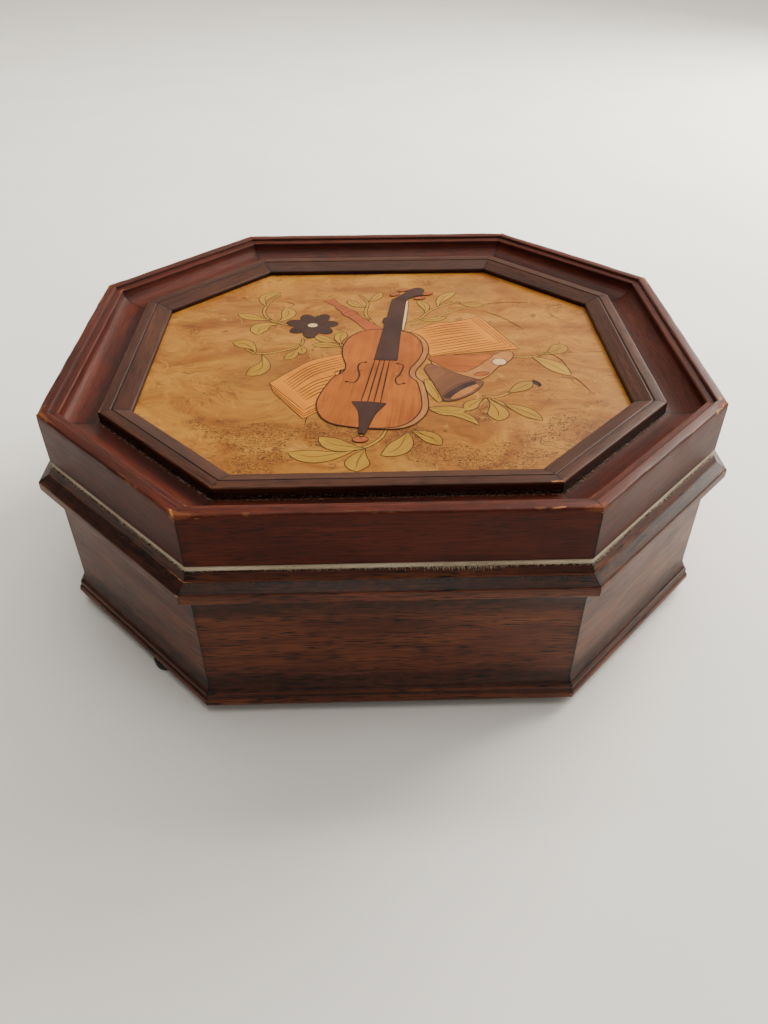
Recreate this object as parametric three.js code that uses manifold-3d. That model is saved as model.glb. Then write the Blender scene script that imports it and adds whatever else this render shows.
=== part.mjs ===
// Cylinder music box in a long octagonal mahogany case: a moulded, mitred case with a marquetry lid on two
// butt hinges, a lined front compartment, and behind it a comb-and-cylinder movement under a glass pane,
// wound by a butterfly key under the bottom board.
// Millimetres, +Z up, front towards -Y. The origin is the centre of the footprint, on the table.
import * as THREE from "three";
import { mergeVertices } from "three/addons/utils/BufferGeometryUtils.js";
import Module from "manifold-3d";

const wasm = await Module();
wasm.setup();

// ---- Driving dimensions ---------------------------------------------------------------------------------
const HALF_WIDTH = 110; // of the lid's outer face, left and right
const HALF_DEPTH = 101; // of the lid's outer face, front and back
const CORNER_CUT = 52.3; // leg of each 45 degree corner
const MITRE_GAP = 0.04; // half the glue line at a mitre
const GAP = 0.1; // clearance between pieces that touch

const FOOT_HEIGHT = 3.5;
const CASE_HEIGHT = 56.3; // from the base bead's underside to the rim
const FELT_THICK = 1.9;
const LID_HEIGHT = 18.7;
const Z_CASE = FOOT_HEIGHT;
const Z_RIM = Z_CASE + CASE_HEIGHT;
const Z_LID = Z_RIM + FELT_THICK;

const WALL_INNER = 9; // insets are measured inwards from the lid's outer face
const LINER_THICK = 1.3;
const LINER_INNER = WALL_INNER + GAP + LINER_THICK;
const LINER_LIP = 4; // the liner stands this far above the rim and centres the lid
const FLOOR_TOP = 17;
const FLOOR_THICK = 4;

const HINGE_X = 31; // the two hinges stand this far either side of the middle
const HINGE_LENGTH = 22;
const HINGE_LEAF = 0.8;
const KNUCKLE_RADIUS = 1.9;
const HINGE_PIN_RADIUS = 0.85;
const HINGE_Y = HALF_DEPTH + 2.2;
const HINGE_Z = Z_RIM + FELT_THICK / 2;

const BEDPLATE_Z = 22;
const BEDPLATE_THICK = 3;
const BED_TOP = BEDPLATE_Z + BEDPLATE_THICK;

const CYLINDER_Y = 46;
const CYLINDER_Z = 39.5;
const CYLINDER_RADIUS = 11;
const CYLINDER_LEFT = -12;
const CYLINDER_RIGHT = 44;
const ARBOR_RADIUS = 1.5;

const COMB_TEETH = 40;
const COMB_THICK = 1.4;
const COMB_TIP_GAP = 1.0;

const BARREL_X = -36; // vertical axis of the spring barrel and the winding arbor
const CONTRATE_RADIUS = 16;
const CONTRATE_TEETH = 40;
const PINION_TEETH = 10;
const PINION_RADIUS = (CONTRATE_RADIUS * PINION_TEETH) / CONTRATE_TEETH;

const GEAR_MODULE = 0.55;
const CYLINDER_GEAR_TEETH = 48;
const GOVERNOR_PINION_TEETH = 8;
const GEAR_CENTRES = ((CYLINDER_GEAR_TEETH + GOVERNOR_PINION_TEETH) * GEAR_MODULE) / 2 + 0.05;
const GOVERNOR_Z = 33.5;
const GOVERNOR_Y = CYLINDER_Y + Math.sqrt(GEAR_CENTRES ** 2 - (CYLINDER_Z - GOVERNOR_Z) ** 2);

const WORM_LEAD = Math.PI / 2;
const WORM_WHEEL_TEETH = 24;
const WORM_WHEEL_RADIUS = (WORM_WHEEL_TEETH * WORM_LEAD) / (2 * Math.PI);
const WORM_PITCH_RADIUS = 1.6;
const FLY_X = 54.3;
const FLY_Y = GOVERNOR_Y + WORM_WHEEL_RADIUS + WORM_PITCH_RADIUS;
const VANE_RADIUS = 7;

const STOP_X = 67; // axis of the start-stop rod
const STOP_Y = 64;
const GLASS_Z = 53.5;
const GLASS_THICK = 2;
const DIVIDER_Y = 2; // middle of the divider between the compartments
const DIVIDER_THICK = 4;

const FOOT_RADIUS = 5;
const FOOT_INSET = 6.5; // from the slanted face to a foot's axis
const FOOT_ALONG = 8; // shift of a foot along its slanted side, towards the front or back
const STRAY_FOOT_INSET = 1.4; // the front left foot was set nearer the edge, where it peeps out
const STRAY_FOOT_ALONG = 10.5;

// ---- Materials ------------------------------------------------------------------------------------------
const material = (color, roughness, metalness = 0, more = {}) =>
  new THREE.MeshStandardMaterial({ color, roughness, metalness, ...more });
const mahogany = material(0x4a2218, 0.32);
const mahoganyDark = material(0x3b1c15, 0.34);
const marquetry = material(0xc08a4a, 0.3);
const plainWood = material(0xa07a50, 0.7);
const velvet = material(0xcfc3a6, 0.95);
const brass = material(0xb8924a, 0.35, 1);
const brassCast = material(0xa8873f, 0.5, 1);
const steel = material(0x9a9ca0, 0.3, 1);
const darkSteel = material(0x4a4a4c, 0.45, 1);
const rubber = material(0x15140f, 0.8);
const glass = material(0xdfe8e6, 0.05, 0, { transparent: true, opacity: 0.3 });

// ---- Small helpers --------------------------------------------------------------------------------------
const root = new THREE.Group();

function add(name, geometry, mat) {
  const mesh = new THREE.Mesh(geometry, mat);
  mesh.name = name;
  root.add(mesh);
  return mesh;
}

function toSolid(geometry) {
  const bare = geometry.clone();
  bare.deleteAttribute("normal");
  bare.deleteAttribute("uv");
  const merged = mergeVertices(bare, 1e-4);
  return new wasm.Manifold(
    new wasm.Mesh({
      numProp: 3,
      vertProperties: new Float32Array(merged.attributes.position.array),
      triVerts: new Uint32Array(merged.index.array),
    }),
  );
}

function toGeometry(solid) {
  const mesh = solid.getMesh();
  return new THREE.BufferGeometry()
    .setAttribute("position", new THREE.BufferAttribute(new Float32Array(mesh.vertProperties), 3))
    .setIndex(new THREE.BufferAttribute(new Uint32Array(mesh.triVerts), 1));
}

const join = (...parts) => toGeometry(parts.map(toSolid).reduce((a, b) => a.add(b)));
const cut = (body, ...tools) => toGeometry(tools.map(toSolid).reduce((a, b) => a.subtract(b), toSolid(body)));

function shapeOf(points, holes = []) {
  const shape = new THREE.Shape(points.map(([x, y]) => new THREE.Vector2(x, y)));
  for (const hole of holes) shape.holes.push(new THREE.Path(hole.map(([x, y]) => new THREE.Vector2(x, y))));
  return shape;
}

const extrude = (shape, depth) => new THREE.ExtrudeGeometry(shape, { depth, bevelEnabled: false, steps: 1 });

// A plate in the XY plane, from z0 up to z1.
const plateZ = (points, z0, z1, holes) => extrude(shapeOf(points, holes), z1 - z0).translate(0, 0, z0);

// A plate whose outline is in (y, z), from x0 to x1. The matrix turns (u, v, w) into (w, u, v).
const ALONG_X = new THREE.Matrix4().makeBasis(
  new THREE.Vector3(0, 1, 0),
  new THREE.Vector3(0, 0, 1),
  new THREE.Vector3(1, 0, 0),
);
const plateX = (points, x0, x1, holes) =>
  extrude(shapeOf(points, holes), x1 - x0).applyMatrix4(ALONG_X).translate(x0, 0, 0);

// A plate whose outline is in (z, x), from y0 to y1. The matrix turns (u, v, w) into (v, w, u).
const ALONG_Y = new THREE.Matrix4().makeBasis(
  new THREE.Vector3(0, 0, 1),
  new THREE.Vector3(1, 0, 0),
  new THREE.Vector3(0, 1, 0),
);
const plateY = (points, y0, y1, holes) =>
  extrude(shapeOf(points, holes), y1 - y0).applyMatrix4(ALONG_Y).translate(0, y0, 0);

const box = (x0, x1, y0, y1, z0, z1) =>
  new THREE.BoxGeometry(x1 - x0, y1 - y0, z1 - z0).translate((x0 + x1) / 2, (y0 + y1) / 2, (z0 + z1) / 2);

// A turned piece from (radius, height) points, about Z at (x, y).
const turnedZ = (profile, x, y, segments = 24) =>
  new THREE.LatheGeometry(profile.map(([r, h]) => new THREE.Vector2(r, h)), segments)
    .rotateX(Math.PI / 2)
    .translate(x, y, 0);

// A turned piece from (radius, x) points, about X at (y, z).
const turnedX = (profile, y, z, segments = 24) =>
  new THREE.LatheGeometry(profile.map(([r, h]) => new THREE.Vector2(r, h)), segments)
    .rotateZ(-Math.PI / 2)
    .translate(0, y, z);

const rodX = (radius, x0, x1, y, z, segments = 16) =>
  turnedX([[0, x0], [radius, x0], [radius, x1], [0, x1]], y, z, segments);
const rodZ = (radius, z0, z1, x, y, segments = 16) =>
  turnedZ([[0, z0], [radius, z0], [radius, z1], [0, z1]], x, y, segments);

// Points of a circle, for outlines and holes.
const ring = (cx, cy, radius, count = 16) =>
  Array.from({ length: count }, (_, k) => {
    const angle = (2 * Math.PI * k) / count;
    return [cx + radius * Math.cos(angle), cy + radius * Math.sin(angle)];
  });

// Points along an elliptical arc between two angles in degrees.
function arc(cx, cy, rx, ry, from, to, steps) {
  return Array.from({ length: steps + 1 }, (_, k) => {
    const angle = THREE.MathUtils.degToRad(from + ((to - from) * k) / steps);
    return [cx + rx * Math.cos(angle), cy + ry * Math.sin(angle)];
  });
}

// ---- The octagon ----------------------------------------------------------------------------------------
const MITRE = Math.tan(Math.PI / 8);
const SIDES = ["front", "front_right", "right", "back_right", "back", "back_left", "left", "front_left"];

// The eight corners at an inset from the lid's outer face, anticlockwise from the front's left end.
function octagon(inset) {
  const w = HALF_WIDTH - inset;
  const d = HALF_DEPTH - inset;
  const a = HALF_WIDTH - CORNER_CUT - inset * MITRE;
  const b = HALF_DEPTH - CORNER_CUT - inset * MITRE;
  return [[-a, -d], [a, -d], [w, -b], [w, b], [a, d], [-a, d], [-w, b], [-w, -b]];
}

// The part of an octagon in front of (or behind) the line y = limit, which crosses its left and right sides.
const octagonFront = (inset, limit) => {
  const corners = octagon(inset);
  const right = corners[2][0];
  return [corners[7], corners[0], corners[1], corners[2], [right, limit], [-right, limit]];
};
const octagonBack = (inset, limit) => {
  const corners = octagon(inset);
  const right = corners[3][0];
  return [[right, limit], ...corners.slice(3, 7), [-right, limit]];
};

// A mitred stave: a profile of (inset, z) points run along one side of the octagon.
function stave(side, profile) {
  const geometry = extrude(shapeOf(profile), 1);
  const position = geometry.attributes.position;
  for (let k = 0; k < position.count; k++) {
    const inset = position.getX(k);
    const corners = octagon(inset);
    const start = new THREE.Vector2(...corners[side]);
    const end = new THREE.Vector2(...corners[(side + 1) % 8]);
    const along = end.clone().sub(start).normalize().multiplyScalar(MITRE_GAP);
    const atEnd = position.getZ(k) > 0.5;
    const point = atEnd ? end.sub(along) : start.add(along);
    position.setXYZ(k, point.x, point.y, position.getY(k));
  }
  return geometry;
}

// ---- Case -----------------------------------------------------------------------------------------------
// One milled profile makes base bead, wall and rim: outer side from the bottom up, then the inner face.
const WALL_FACE = -0.3;
const CASE_PROFILE = [
  [-2.3, 0], [-3.0, 0.5], [-3.2, 1.6], [-3.0, 2.9], [-2.6, 3.3], [-2.3, 3.5], // base bead
  [-2.2, 5.2], [-2.0, 5.5],
  ...arc(-2.0, 10.3, 2.0 + WALL_FACE, 4.8, 270, 360, 6), // cove above the base bead
  ...arc(-4.6, 41.0, 4.6 + WALL_FACE, 7.0, 0, 90, 6), // cove under the rim
  [-5.0, 48.4], [-5.1, 50.0], [-5.0, 51.7], [-4.7, 52.0], [-1.6, 53.7],
  [-1.2, 54.1], [-0.5, 55.6], [-0.2, CASE_HEIGHT],
  [WALL_INNER, CASE_HEIGHT], [WALL_INNER, 0],
].map(([inset, z]) => [inset, z + Z_CASE]);

SIDES.forEach((name, side) => add(`case_wall_${name}`, stave(side, CASE_PROFILE), mahogany));

const BARREL_HOLE = 4;
add(
  "bottom_board",
  plateZ(octagon(WALL_INNER + GAP), FLOOR_TOP - FLOOR_THICK, FLOOR_TOP, [
    ring(BARREL_X, CYLINDER_Y, BARREL_HOLE),
  ]),
  plainWood,
);

// A foot stands under each slanted side, a little towards the front or the back.
function footAt(side, inset, shift) {
  const corners = octagon(inset);
  const start = new THREE.Vector2(...corners[side]);
  const end = new THREE.Vector2(...corners[(side + 1) % 8]);
  const along = end.clone().sub(start).normalize().multiplyScalar(shift);
  return start.add(end).multiplyScalar(0.5).add(along);
}
const FOOT_PROFILE = [
  [0, 0], [FOOT_RADIUS - 1, 0], [FOOT_RADIUS - 0.3, 0.6], [FOOT_RADIUS, 1.6],
  [FOOT_RADIUS, FOOT_HEIGHT - GAP], [0, FOOT_HEIGHT - GAP],
];
const FEET = [
  ["front_right", 1, FOOT_INSET, -FOOT_ALONG],
  ["back_right", 3, FOOT_INSET, FOOT_ALONG],
  ["back_left", 5, FOOT_INSET, -FOOT_ALONG],
  ["front_left", 7, STRAY_FOOT_INSET, STRAY_FOOT_ALONG],
];
for (const [name, side, inset, shift] of FEET) {
  const at = footAt(side, inset, shift);
  add(`foot_${name}`, turnedZ(FOOT_PROFILE, at.x, at.y, 20), rubber);
}

// ---- Lining, divider and glass --------------------------------------------------------------------------
const LINER_TOP = Z_RIM + LINER_LIP;
add(
  "case_liner",
  plateZ(octagon(WALL_INNER + GAP), FLOOR_TOP + GAP, LINER_TOP, [octagon(LINER_INNER)]),
  velvet,
);
const TRAY_LINING_THICK = 1.5;
const DIVIDER_FRONT = DIVIDER_Y - DIVIDER_THICK / 2;
const DIVIDER_BACK = DIVIDER_Y + DIVIDER_THICK / 2;
const trayOutline = octagonFront(LINER_INNER + GAP, DIVIDER_FRONT - GAP);
add("tray_lining", plateZ(trayOutline, FLOOR_TOP + GAP, FLOOR_TOP + GAP + TRAY_LINING_THICK), velvet);
const LEDGE_WIDTH = 3;
const DIVIDER_TOP = GLASS_Z + GLASS_THICK + 1.2;
const DIVIDER_HALF = HALF_WIDTH - LINER_INNER - GAP;
add(
  "divider",
  plateX(
    [
      [DIVIDER_FRONT, FLOOR_TOP + GAP], [DIVIDER_BACK + LEDGE_WIDTH, FLOOR_TOP + GAP],
      [DIVIDER_BACK + LEDGE_WIDTH, GLASS_Z - GAP], [DIVIDER_BACK, GLASS_Z - GAP],
      [DIVIDER_BACK, DIVIDER_TOP], [DIVIDER_FRONT, DIVIDER_TOP],
    ],
    -DIVIDER_HALF,
    DIVIDER_HALF,
  ),
  velvet,
);
const LEDGE_DEPTH = 4;
const LEDGE_FRONT = DIVIDER_BACK + LEDGE_WIDTH + GAP;
const ledgeInner = octagonBack(LINER_INNER + GAP + LEDGE_WIDTH, LEDGE_FRONT).reverse();
const ledgeOutline = [...octagonBack(LINER_INNER + GAP, LEDGE_FRONT), ...ledgeInner];
add("glass_ledge", plateZ(ledgeOutline, GLASS_Z - LEDGE_DEPTH, GLASS_Z - GAP), velvet);
const STOP_HOLE = 4;
add(
  "glass_cover",
  plateZ(octagonBack(LINER_INNER + 0.4, DIVIDER_BACK + 0.3), GLASS_Z, GLASS_Z + GLASS_THICK, [
    ring(STOP_X, STOP_Y, STOP_HOLE),
  ]),
  glass,
);

// ---- Lid ------------------------------------------------------------------------------------------------
const LID_INNER = 8.6; // inner face of the lid's skirt, clear of the liner's lip
const FRAME_OUTER = 16.8; // where the panel's own frame begins
const SKIRT_INNER_TOP = 6.6;
const COVE_FOOT = 10.9;
const COVE_TOP = LID_HEIGHT - 2.6;
const LID_PROFILE = [
  [0.4, 0], [0, 0.4], [0, LID_HEIGHT - 0.5], [0.5, LID_HEIGHT], [3.2, LID_HEIGHT], [3.6, LID_HEIGHT - 0.3],
  [3.8, LID_HEIGHT - 1.0], [4.2, LID_HEIGHT - 1.1], [5.8, LID_HEIGHT - 1.3], [6.2, LID_HEIGHT - 1.6],
  [6.3, LID_HEIGHT - 2.3],
  ...arc(FRAME_OUTER, COVE_TOP, FRAME_OUTER - 6.5, COVE_TOP - COVE_FOOT, 180, 270, 7), // wide cove
  [FRAME_OUTER, SKIRT_INNER_TOP], [LID_INNER, SKIRT_INNER_TOP], [LID_INNER, 0],
].map(([inset, z]) => [inset, z + Z_LID]);
SIDES.forEach((name, side) => add(`lid_frame_${name}`, stave(side, LID_PROFILE), mahogany));

const PANEL_TOP = 10.9;
const PANEL_THICK = 3;
const PANEL_INSET = 18.5;
const FRAME_INNER = 26.8;
const INNER_PROFILE = [
  [FRAME_OUTER + GAP, 7.0], [PANEL_INSET - GAP, 7.0], [PANEL_INSET - GAP, PANEL_TOP + GAP],
  [FRAME_INNER, PANEL_TOP + GAP], [FRAME_INNER, 12.3], [26.5, 12.7], [21.2, 14.6],
  [21.0, 14.3], [20.7, 14.3], [20.5, 14.75], [17.3, 14.8], [FRAME_OUTER + GAP, 14.5],
].map(([inset, z]) => [inset, z + Z_LID]);
SIDES.forEach((name, side) => add(`panel_frame_${name}`, stave(side, INNER_PROFILE), mahoganyDark));

add(
  "marquetry_panel",
  plateZ(octagon(PANEL_INSET), Z_LID + PANEL_TOP - PANEL_THICK, Z_LID + PANEL_TOP),
  marquetry,
);
const LID_LINING_Z = 5.0;
add(
  "lid_lining",
  plateZ(octagon(LID_INNER + GAP), Z_LID + LID_LINING_Z, Z_LID + SKIRT_INNER_TOP - GAP),
  velvet,
);

// The felt under the lid's skirt is notched for the hinge leaves.
const FELT_INNER = 8.4;
const LEAF_DEPTH = 7.3;
const NOTCH_HALF = HINGE_LENGTH / 2 + 0.3;
const hingeNotch = (x) =>
  box(x - NOTCH_HALF, x + NOTCH_HALF, HALF_DEPTH - LEAF_DEPTH - 0.3, HALF_DEPTH + 2, Z_RIM - 1, Z_LID + 1);
add(
  "lid_felt",
  cut(
    plateZ(octagon(0.15), Z_RIM + 0.05, Z_LID - 0.05, [octagon(FELT_INNER)]),
    hingeNotch(-HINGE_X),
    hingeNotch(HINGE_X),
  ),
  velvet,
);

// ---- Hinges ---------------------------------------------------------------------------------------------
const KNUCKLE_GAP = 0.15;
const KNUCKLE_LENGTH = HINGE_LENGTH / 3;

// One leaf: a plate from z0, with a knuckle over each stretch of the barrel, bored for the pin.
function hingeLeaf(x, z0, stretches) {
  const left = x - HINGE_LENGTH / 2;
  const plateBack = HINGE_Y - KNUCKLE_RADIUS - 0.2;
  const pieces = [box(left, left + HINGE_LENGTH, HALF_DEPTH - LEAF_DEPTH, plateBack, z0, z0 + HINGE_LEAF)];
  for (const stretch of stretches) {
    const from = left + stretch * KNUCKLE_LENGTH + KNUCKLE_GAP;
    const to = left + (stretch + 1) * KNUCKLE_LENGTH - KNUCKLE_GAP;
    pieces.push(rodX(KNUCKLE_RADIUS, from, to, HINGE_Y, HINGE_Z, 20));
    pieces.push(box(from, to, HINGE_Y - KNUCKLE_RADIUS - 0.4, HINGE_Y, z0, z0 + HINGE_LEAF));
  }
  const bore = rodX(HINGE_PIN_RADIUS + 0.12, left - 1, left + HINGE_LENGTH + 1, HINGE_Y, HINGE_Z, 16);
  return cut(join(...pieces), bore);
}
for (const [name, x] of [["left", -HINGE_X], ["right", HINGE_X]]) {
  add(`hinge_${name}_case_leaf`, hingeLeaf(x, Z_RIM + 0.05, [0, 2]), brass);
  add(`hinge_${name}_lid_leaf`, hingeLeaf(x, Z_LID - 0.05 - HINGE_LEAF, [1]), brass);
  const half = HINGE_LENGTH / 2;
  add(`hinge_${name}_pin`, rodX(HINGE_PIN_RADIUS, x - half, x + half, HINGE_Y, HINGE_Z, 12), steel);
}

// ---- Movement: bedplate, bearings and comb --------------------------------------------------------------
const BED_OUTLINE = [[-57, 9], [75, 9], [75, 60], [62, 76], [-48, 76], [-57, 67]];
const BED_POSTS = [[-51, 14], [69, 14], [-43, 70], [58, 71]];
const STOP_RADIUS = 1.2;
const STOP_BOSS_RADIUS = 3.2;
const STOP_BOSS_TOP = 41;
add(
  "bedplate",
  cut(
    join(
      plateZ(BED_OUTLINE, BEDPLATE_Z, BED_TOP, [ring(BARREL_X, CYLINDER_Y, BARREL_HOLE)]),
      ...BED_POSTS.map(([x, y]) => rodZ(3.5, FLOOR_TOP + GAP, BEDPLATE_Z + 1, x, y, 12)),
      rodZ(STOP_BOSS_RADIUS, BEDPLATE_Z + 1, STOP_BOSS_TOP, STOP_X, STOP_Y, 16),
    ),
    rodZ(STOP_RADIUS + 0.15, BEDPLATE_Z - 1, STOP_BOSS_TOP + 1, STOP_X, STOP_Y, 12),
  ),
  brassCast,
);

// Outline of a bearing bracket in (y, z): a broad foot that narrows to a round head about the arbor.
const bearingOutline = [
  [CYLINDER_Y - 9, BED_TOP + GAP], [CYLINDER_Y + 9, BED_TOP + GAP], [CYLINDER_Y + 9, BED_TOP + 3],
  ...arc(CYLINDER_Y, CYLINDER_Z, 4.5, 4.5, 0, 180, 8),
  [CYLINDER_Y - 9, BED_TOP + 3],
];
const bearingHole = ring(CYLINDER_Y, CYLINDER_Z, ARBOR_RADIUS + 0.15, 16);
add("cylinder_bearing_left", plateX(bearingOutline, -17.4, -14.8, [bearingHole]), brassCast);
add("cylinder_bearing_right", plateX(bearingOutline, 48, 50.4, [bearingHole]), brassCast);

const COMB_LEFT = CYLINDER_LEFT + 2;
const COMB_PITCH = (CYLINDER_RIGHT - CYLINDER_LEFT - 4) / COMB_TEETH;
const COMB_SLOT = 0.4;
const COMB_TIP_Y = CYLINDER_Y - CYLINDER_RADIUS - COMB_TIP_GAP;
const COMB_ROOT_Y = 20;
const COMB_BACK_Y = 11.5;
const COMB_RIGHT = COMB_LEFT + COMB_TEETH * COMB_PITCH - COMB_SLOT;
const combOutline = [[COMB_LEFT, COMB_BACK_Y], [COMB_RIGHT, COMB_BACK_Y]];
for (let tooth = COMB_TEETH - 1; tooth >= 0; tooth--) {
  const left = COMB_LEFT + tooth * COMB_PITCH;
  const slotEnd = COMB_ROOT_Y + (2.5 * tooth) / COMB_TEETH; // the bass teeth, on the left, are longer
  combOutline.push([left + COMB_PITCH - COMB_SLOT, COMB_TIP_Y], [left, COMB_TIP_Y]);
  if (tooth > 0) combOutline.push([left, slotEnd], [left - COMB_SLOT, slotEnd]);
}
add("comb", plateZ(combOutline, CYLINDER_Z - COMB_THICK / 2, CYLINDER_Z + COMB_THICK / 2), steel);
add(
  "comb_base",
  plateX(
    [
      [10.6, BED_TOP + GAP], [23, BED_TOP + GAP], [23, BED_TOP + 3], [19.4, BED_TOP + 6],
      [19.4, CYLINDER_Z - COMB_THICK / 2 - GAP], [10.6, CYLINDER_Z - COMB_THICK / 2 - GAP],
    ],
    COMB_LEFT - 1,
    COMB_RIGHT + 1,
  ),
  brassCast,
);

// ---- Gears ----------------------------------------------------------------------------------------------
// Outline of a gear with tapered teeth, given by the radii of their roots and tips and half their thickness
// there. One tooth is centred on the angle `phase`.
function gearOutline(teeth, [rootRadius, rootHalf], [tipRadius, tipHalf], phase, cx, cy) {
  const corners = [
    [rootRadius, -rootHalf], [tipRadius, -tipHalf], [tipRadius, tipHalf], [rootRadius, rootHalf],
  ];
  const points = [];
  for (let k = 0; k < teeth; k++) {
    const angle = phase + (2 * Math.PI * k) / teeth;
    for (const [radius, half] of corners) {
      const at = angle + half / radius;
      points.push([cx + radius * Math.cos(at), cy + radius * Math.sin(at)]);
    }
  }
  return points;
}

// ---- Cylinder -------------------------------------------------------------------------------------------
const BORE = ARBOR_RADIUS + GAP;
add(
  "cylinder_drum",
  turnedX(
    [
      [BORE, CYLINDER_LEFT], [9.6, CYLINDER_LEFT], [10, CYLINDER_LEFT + 0.8],
      [CYLINDER_RADIUS, CYLINDER_LEFT + 0.8], [CYLINDER_RADIUS, CYLINDER_RIGHT - 0.8],
      [10, CYLINDER_RIGHT - 0.8], [9.6, CYLINDER_RIGHT], [BORE, CYLINDER_RIGHT], [BORE, CYLINDER_LEFT],
    ],
    CYLINDER_Y,
    CYLINDER_Z,
    40,
  ),
  brass,
);
const PINION_X = BARREL_X + CONTRATE_RADIUS;
const pinionRoot = [PINION_RADIUS - 1.0, 0.55];
const pinionTip = [PINION_RADIUS + 0.4, 0.3];
const pinion = gearOutline(PINION_TEETH, pinionRoot, pinionTip, -Math.PI / 2, CYLINDER_Y, CYLINDER_Z);
add(
  "cylinder_arbor",
  join(
    rodX(ARBOR_RADIUS, PINION_X - 3, 51.5, CYLINDER_Y, CYLINDER_Z, 16),
    plateX(pinion, PINION_X - 1.4, PINION_X + 1.4),
  ),
  steel,
);
const towardsGovernor = Math.atan2(GOVERNOR_Z - CYLINDER_Z, GOVERNOR_Y - CYLINDER_Y);
const CYLINDER_GEAR_RADIUS = (CYLINDER_GEAR_TEETH * GEAR_MODULE) / 2;
const CYLINDER_GEAR_X = CYLINDER_RIGHT + 0.8;
const SPUR_THICK = 1.6;
const gearRoot = [CYLINDER_GEAR_RADIUS - 0.6, 0.42];
const gearTip = [CYLINDER_GEAR_RADIUS + 0.35, 0.2];
const gear = gearOutline(CYLINDER_GEAR_TEETH, gearRoot, gearTip, towardsGovernor, CYLINDER_Y, CYLINDER_Z);
const gearBore = ring(CYLINDER_Y, CYLINDER_Z, BORE);
add("cylinder_gear", plateX(gear, CYLINDER_GEAR_X, CYLINDER_GEAR_X + SPUR_THICK, [gearBore]), brass);

// ---- Spring barrel, winding arbor and key ---------------------------------------------------------------
const WINDING_RADIUS = 2.4;
const CONTRATE_PITCH_Z = CYLINDER_Z - PINION_RADIUS;
const CONTRATE_ROOT_Z = CONTRATE_PITCH_Z - 0.9;
const CONTRATE_TIP_Z = CONTRATE_PITCH_Z + 0.4;
const RIM_WIDTH = 0.9; // half the radial width of the contrate teeth
const CONTRATE_TOOTH = 0.85;
const BARREL_LOW = BED_TOP + 1.2;
const BARREL_WEB = CONTRATE_ROOT_Z - 3.4; // underside of the cup's closed end
const BARREL_INNER = 14.6;
const barrelBody = turnedZ(
  [
    [BARREL_INNER, BARREL_LOW], [CONTRATE_RADIUS, BARREL_LOW], [CONTRATE_RADIUS + RIM_WIDTH, BARREL_LOW + 1],
    [CONTRATE_RADIUS + RIM_WIDTH, CONTRATE_ROOT_Z], [CONTRATE_RADIUS - RIM_WIDTH, CONTRATE_ROOT_Z],
    [CONTRATE_RADIUS - RIM_WIDTH, CONTRATE_ROOT_Z - 1], [WINDING_RADIUS + GAP, CONTRATE_ROOT_Z - 1],
    [WINDING_RADIUS + GAP, BARREL_WEB], [BARREL_INNER, BARREL_WEB], [BARREL_INNER, BARREL_LOW],
  ],
  BARREL_X,
  CYLINDER_Y,
  40,
);
const contrateTeeth = Array.from({ length: CONTRATE_TEETH }, (_, k) =>
  box(
    CONTRATE_RADIUS - RIM_WIDTH + 0.1, CONTRATE_RADIUS + RIM_WIDTH - 0.1,
    -CONTRATE_TOOTH / 2, CONTRATE_TOOTH / 2,
    CONTRATE_ROOT_Z - 0.5, CONTRATE_TIP_Z,
  )
    .rotateZ((2 * Math.PI * (k + 0.5)) / CONTRATE_TEETH)
    .translate(BARREL_X, CYLINDER_Y, 0),
);
add("spring_barrel", join(barrelBody, ...contrateTeeth), brass);

// The mainspring is a flat spiral strip between the winding arbor and the barrel's wall.
const SPRING_TURNS = 6;
const SPRING_STEPS = 16;
const SPRING_THICK = 0.5;
const SPRING_START = WINDING_RADIUS + 0.4;
const springEdge = (offset) =>
  Array.from({ length: SPRING_TURNS * SPRING_STEPS + 1 }, (_, k) => {
    const angle = (2 * Math.PI * k) / SPRING_STEPS;
    const grown = ((BARREL_INNER - 1 - SPRING_START) * k) / (SPRING_TURNS * SPRING_STEPS);
    const radius = SPRING_START + grown + offset;
    return [BARREL_X + radius * Math.cos(angle), CYLINDER_Y + radius * Math.sin(angle)];
  });
add(
  "mainspring",
  plateZ([...springEdge(SPRING_THICK), ...springEdge(0).reverse()], BARREL_LOW + 0.4, BARREL_WEB - 0.3),
  darkSteel,
);

const KEY_Z = 1.6; // lowest point of the key, clear of the table
const KEY_HUB_TOP = 10.5;
const KEY_STUD = 1.7;
add(
  "winding_arbor",
  turnedZ(
    [
      [0, 4], [KEY_STUD - GAP, 4], [KEY_STUD - GAP, KEY_HUB_TOP + 0.3], [WINDING_RADIUS, KEY_HUB_TOP + 0.5],
      [WINDING_RADIUS, CONTRATE_ROOT_Z + 0.6], [1.8, CONTRATE_ROOT_Z + 1.2], [0, CONTRATE_ROOT_Z + 1.2],
    ],
    BARREL_X,
    CYLINDER_Y,
    16,
  ),
  steel,
);
// The key's two ears are round loops, one each side of the hub, in the XZ plane.
const EAR_RADIUS = 5.4;
const EAR_HOLE = 2.6;
const EAR_OFFSET = 7.4;
const EAR_Z = KEY_Z + EAR_RADIUS;
const KEY_THICK = 1.8;
const keyEar = (sign) =>
  plateY(
    ring(EAR_Z, BARREL_X + sign * EAR_OFFSET, EAR_RADIUS, 20),
    CYLINDER_Y - KEY_THICK / 2,
    CYLINDER_Y + KEY_THICK / 2,
    [ring(EAR_Z, BARREL_X + sign * (EAR_OFFSET + 0.6), EAR_HOLE, 14)],
  );
add(
  "winding_key",
  cut(
    join(
      rodZ(3.4, 3.0, KEY_HUB_TOP, BARREL_X, CYLINDER_Y, 16),
      keyEar(-1),
      keyEar(1),
    ),
    rodZ(KEY_STUD, 3.8, KEY_HUB_TOP + 1, BARREL_X, CYLINDER_Y, 16),
  ),
  darkSteel,
);

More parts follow.
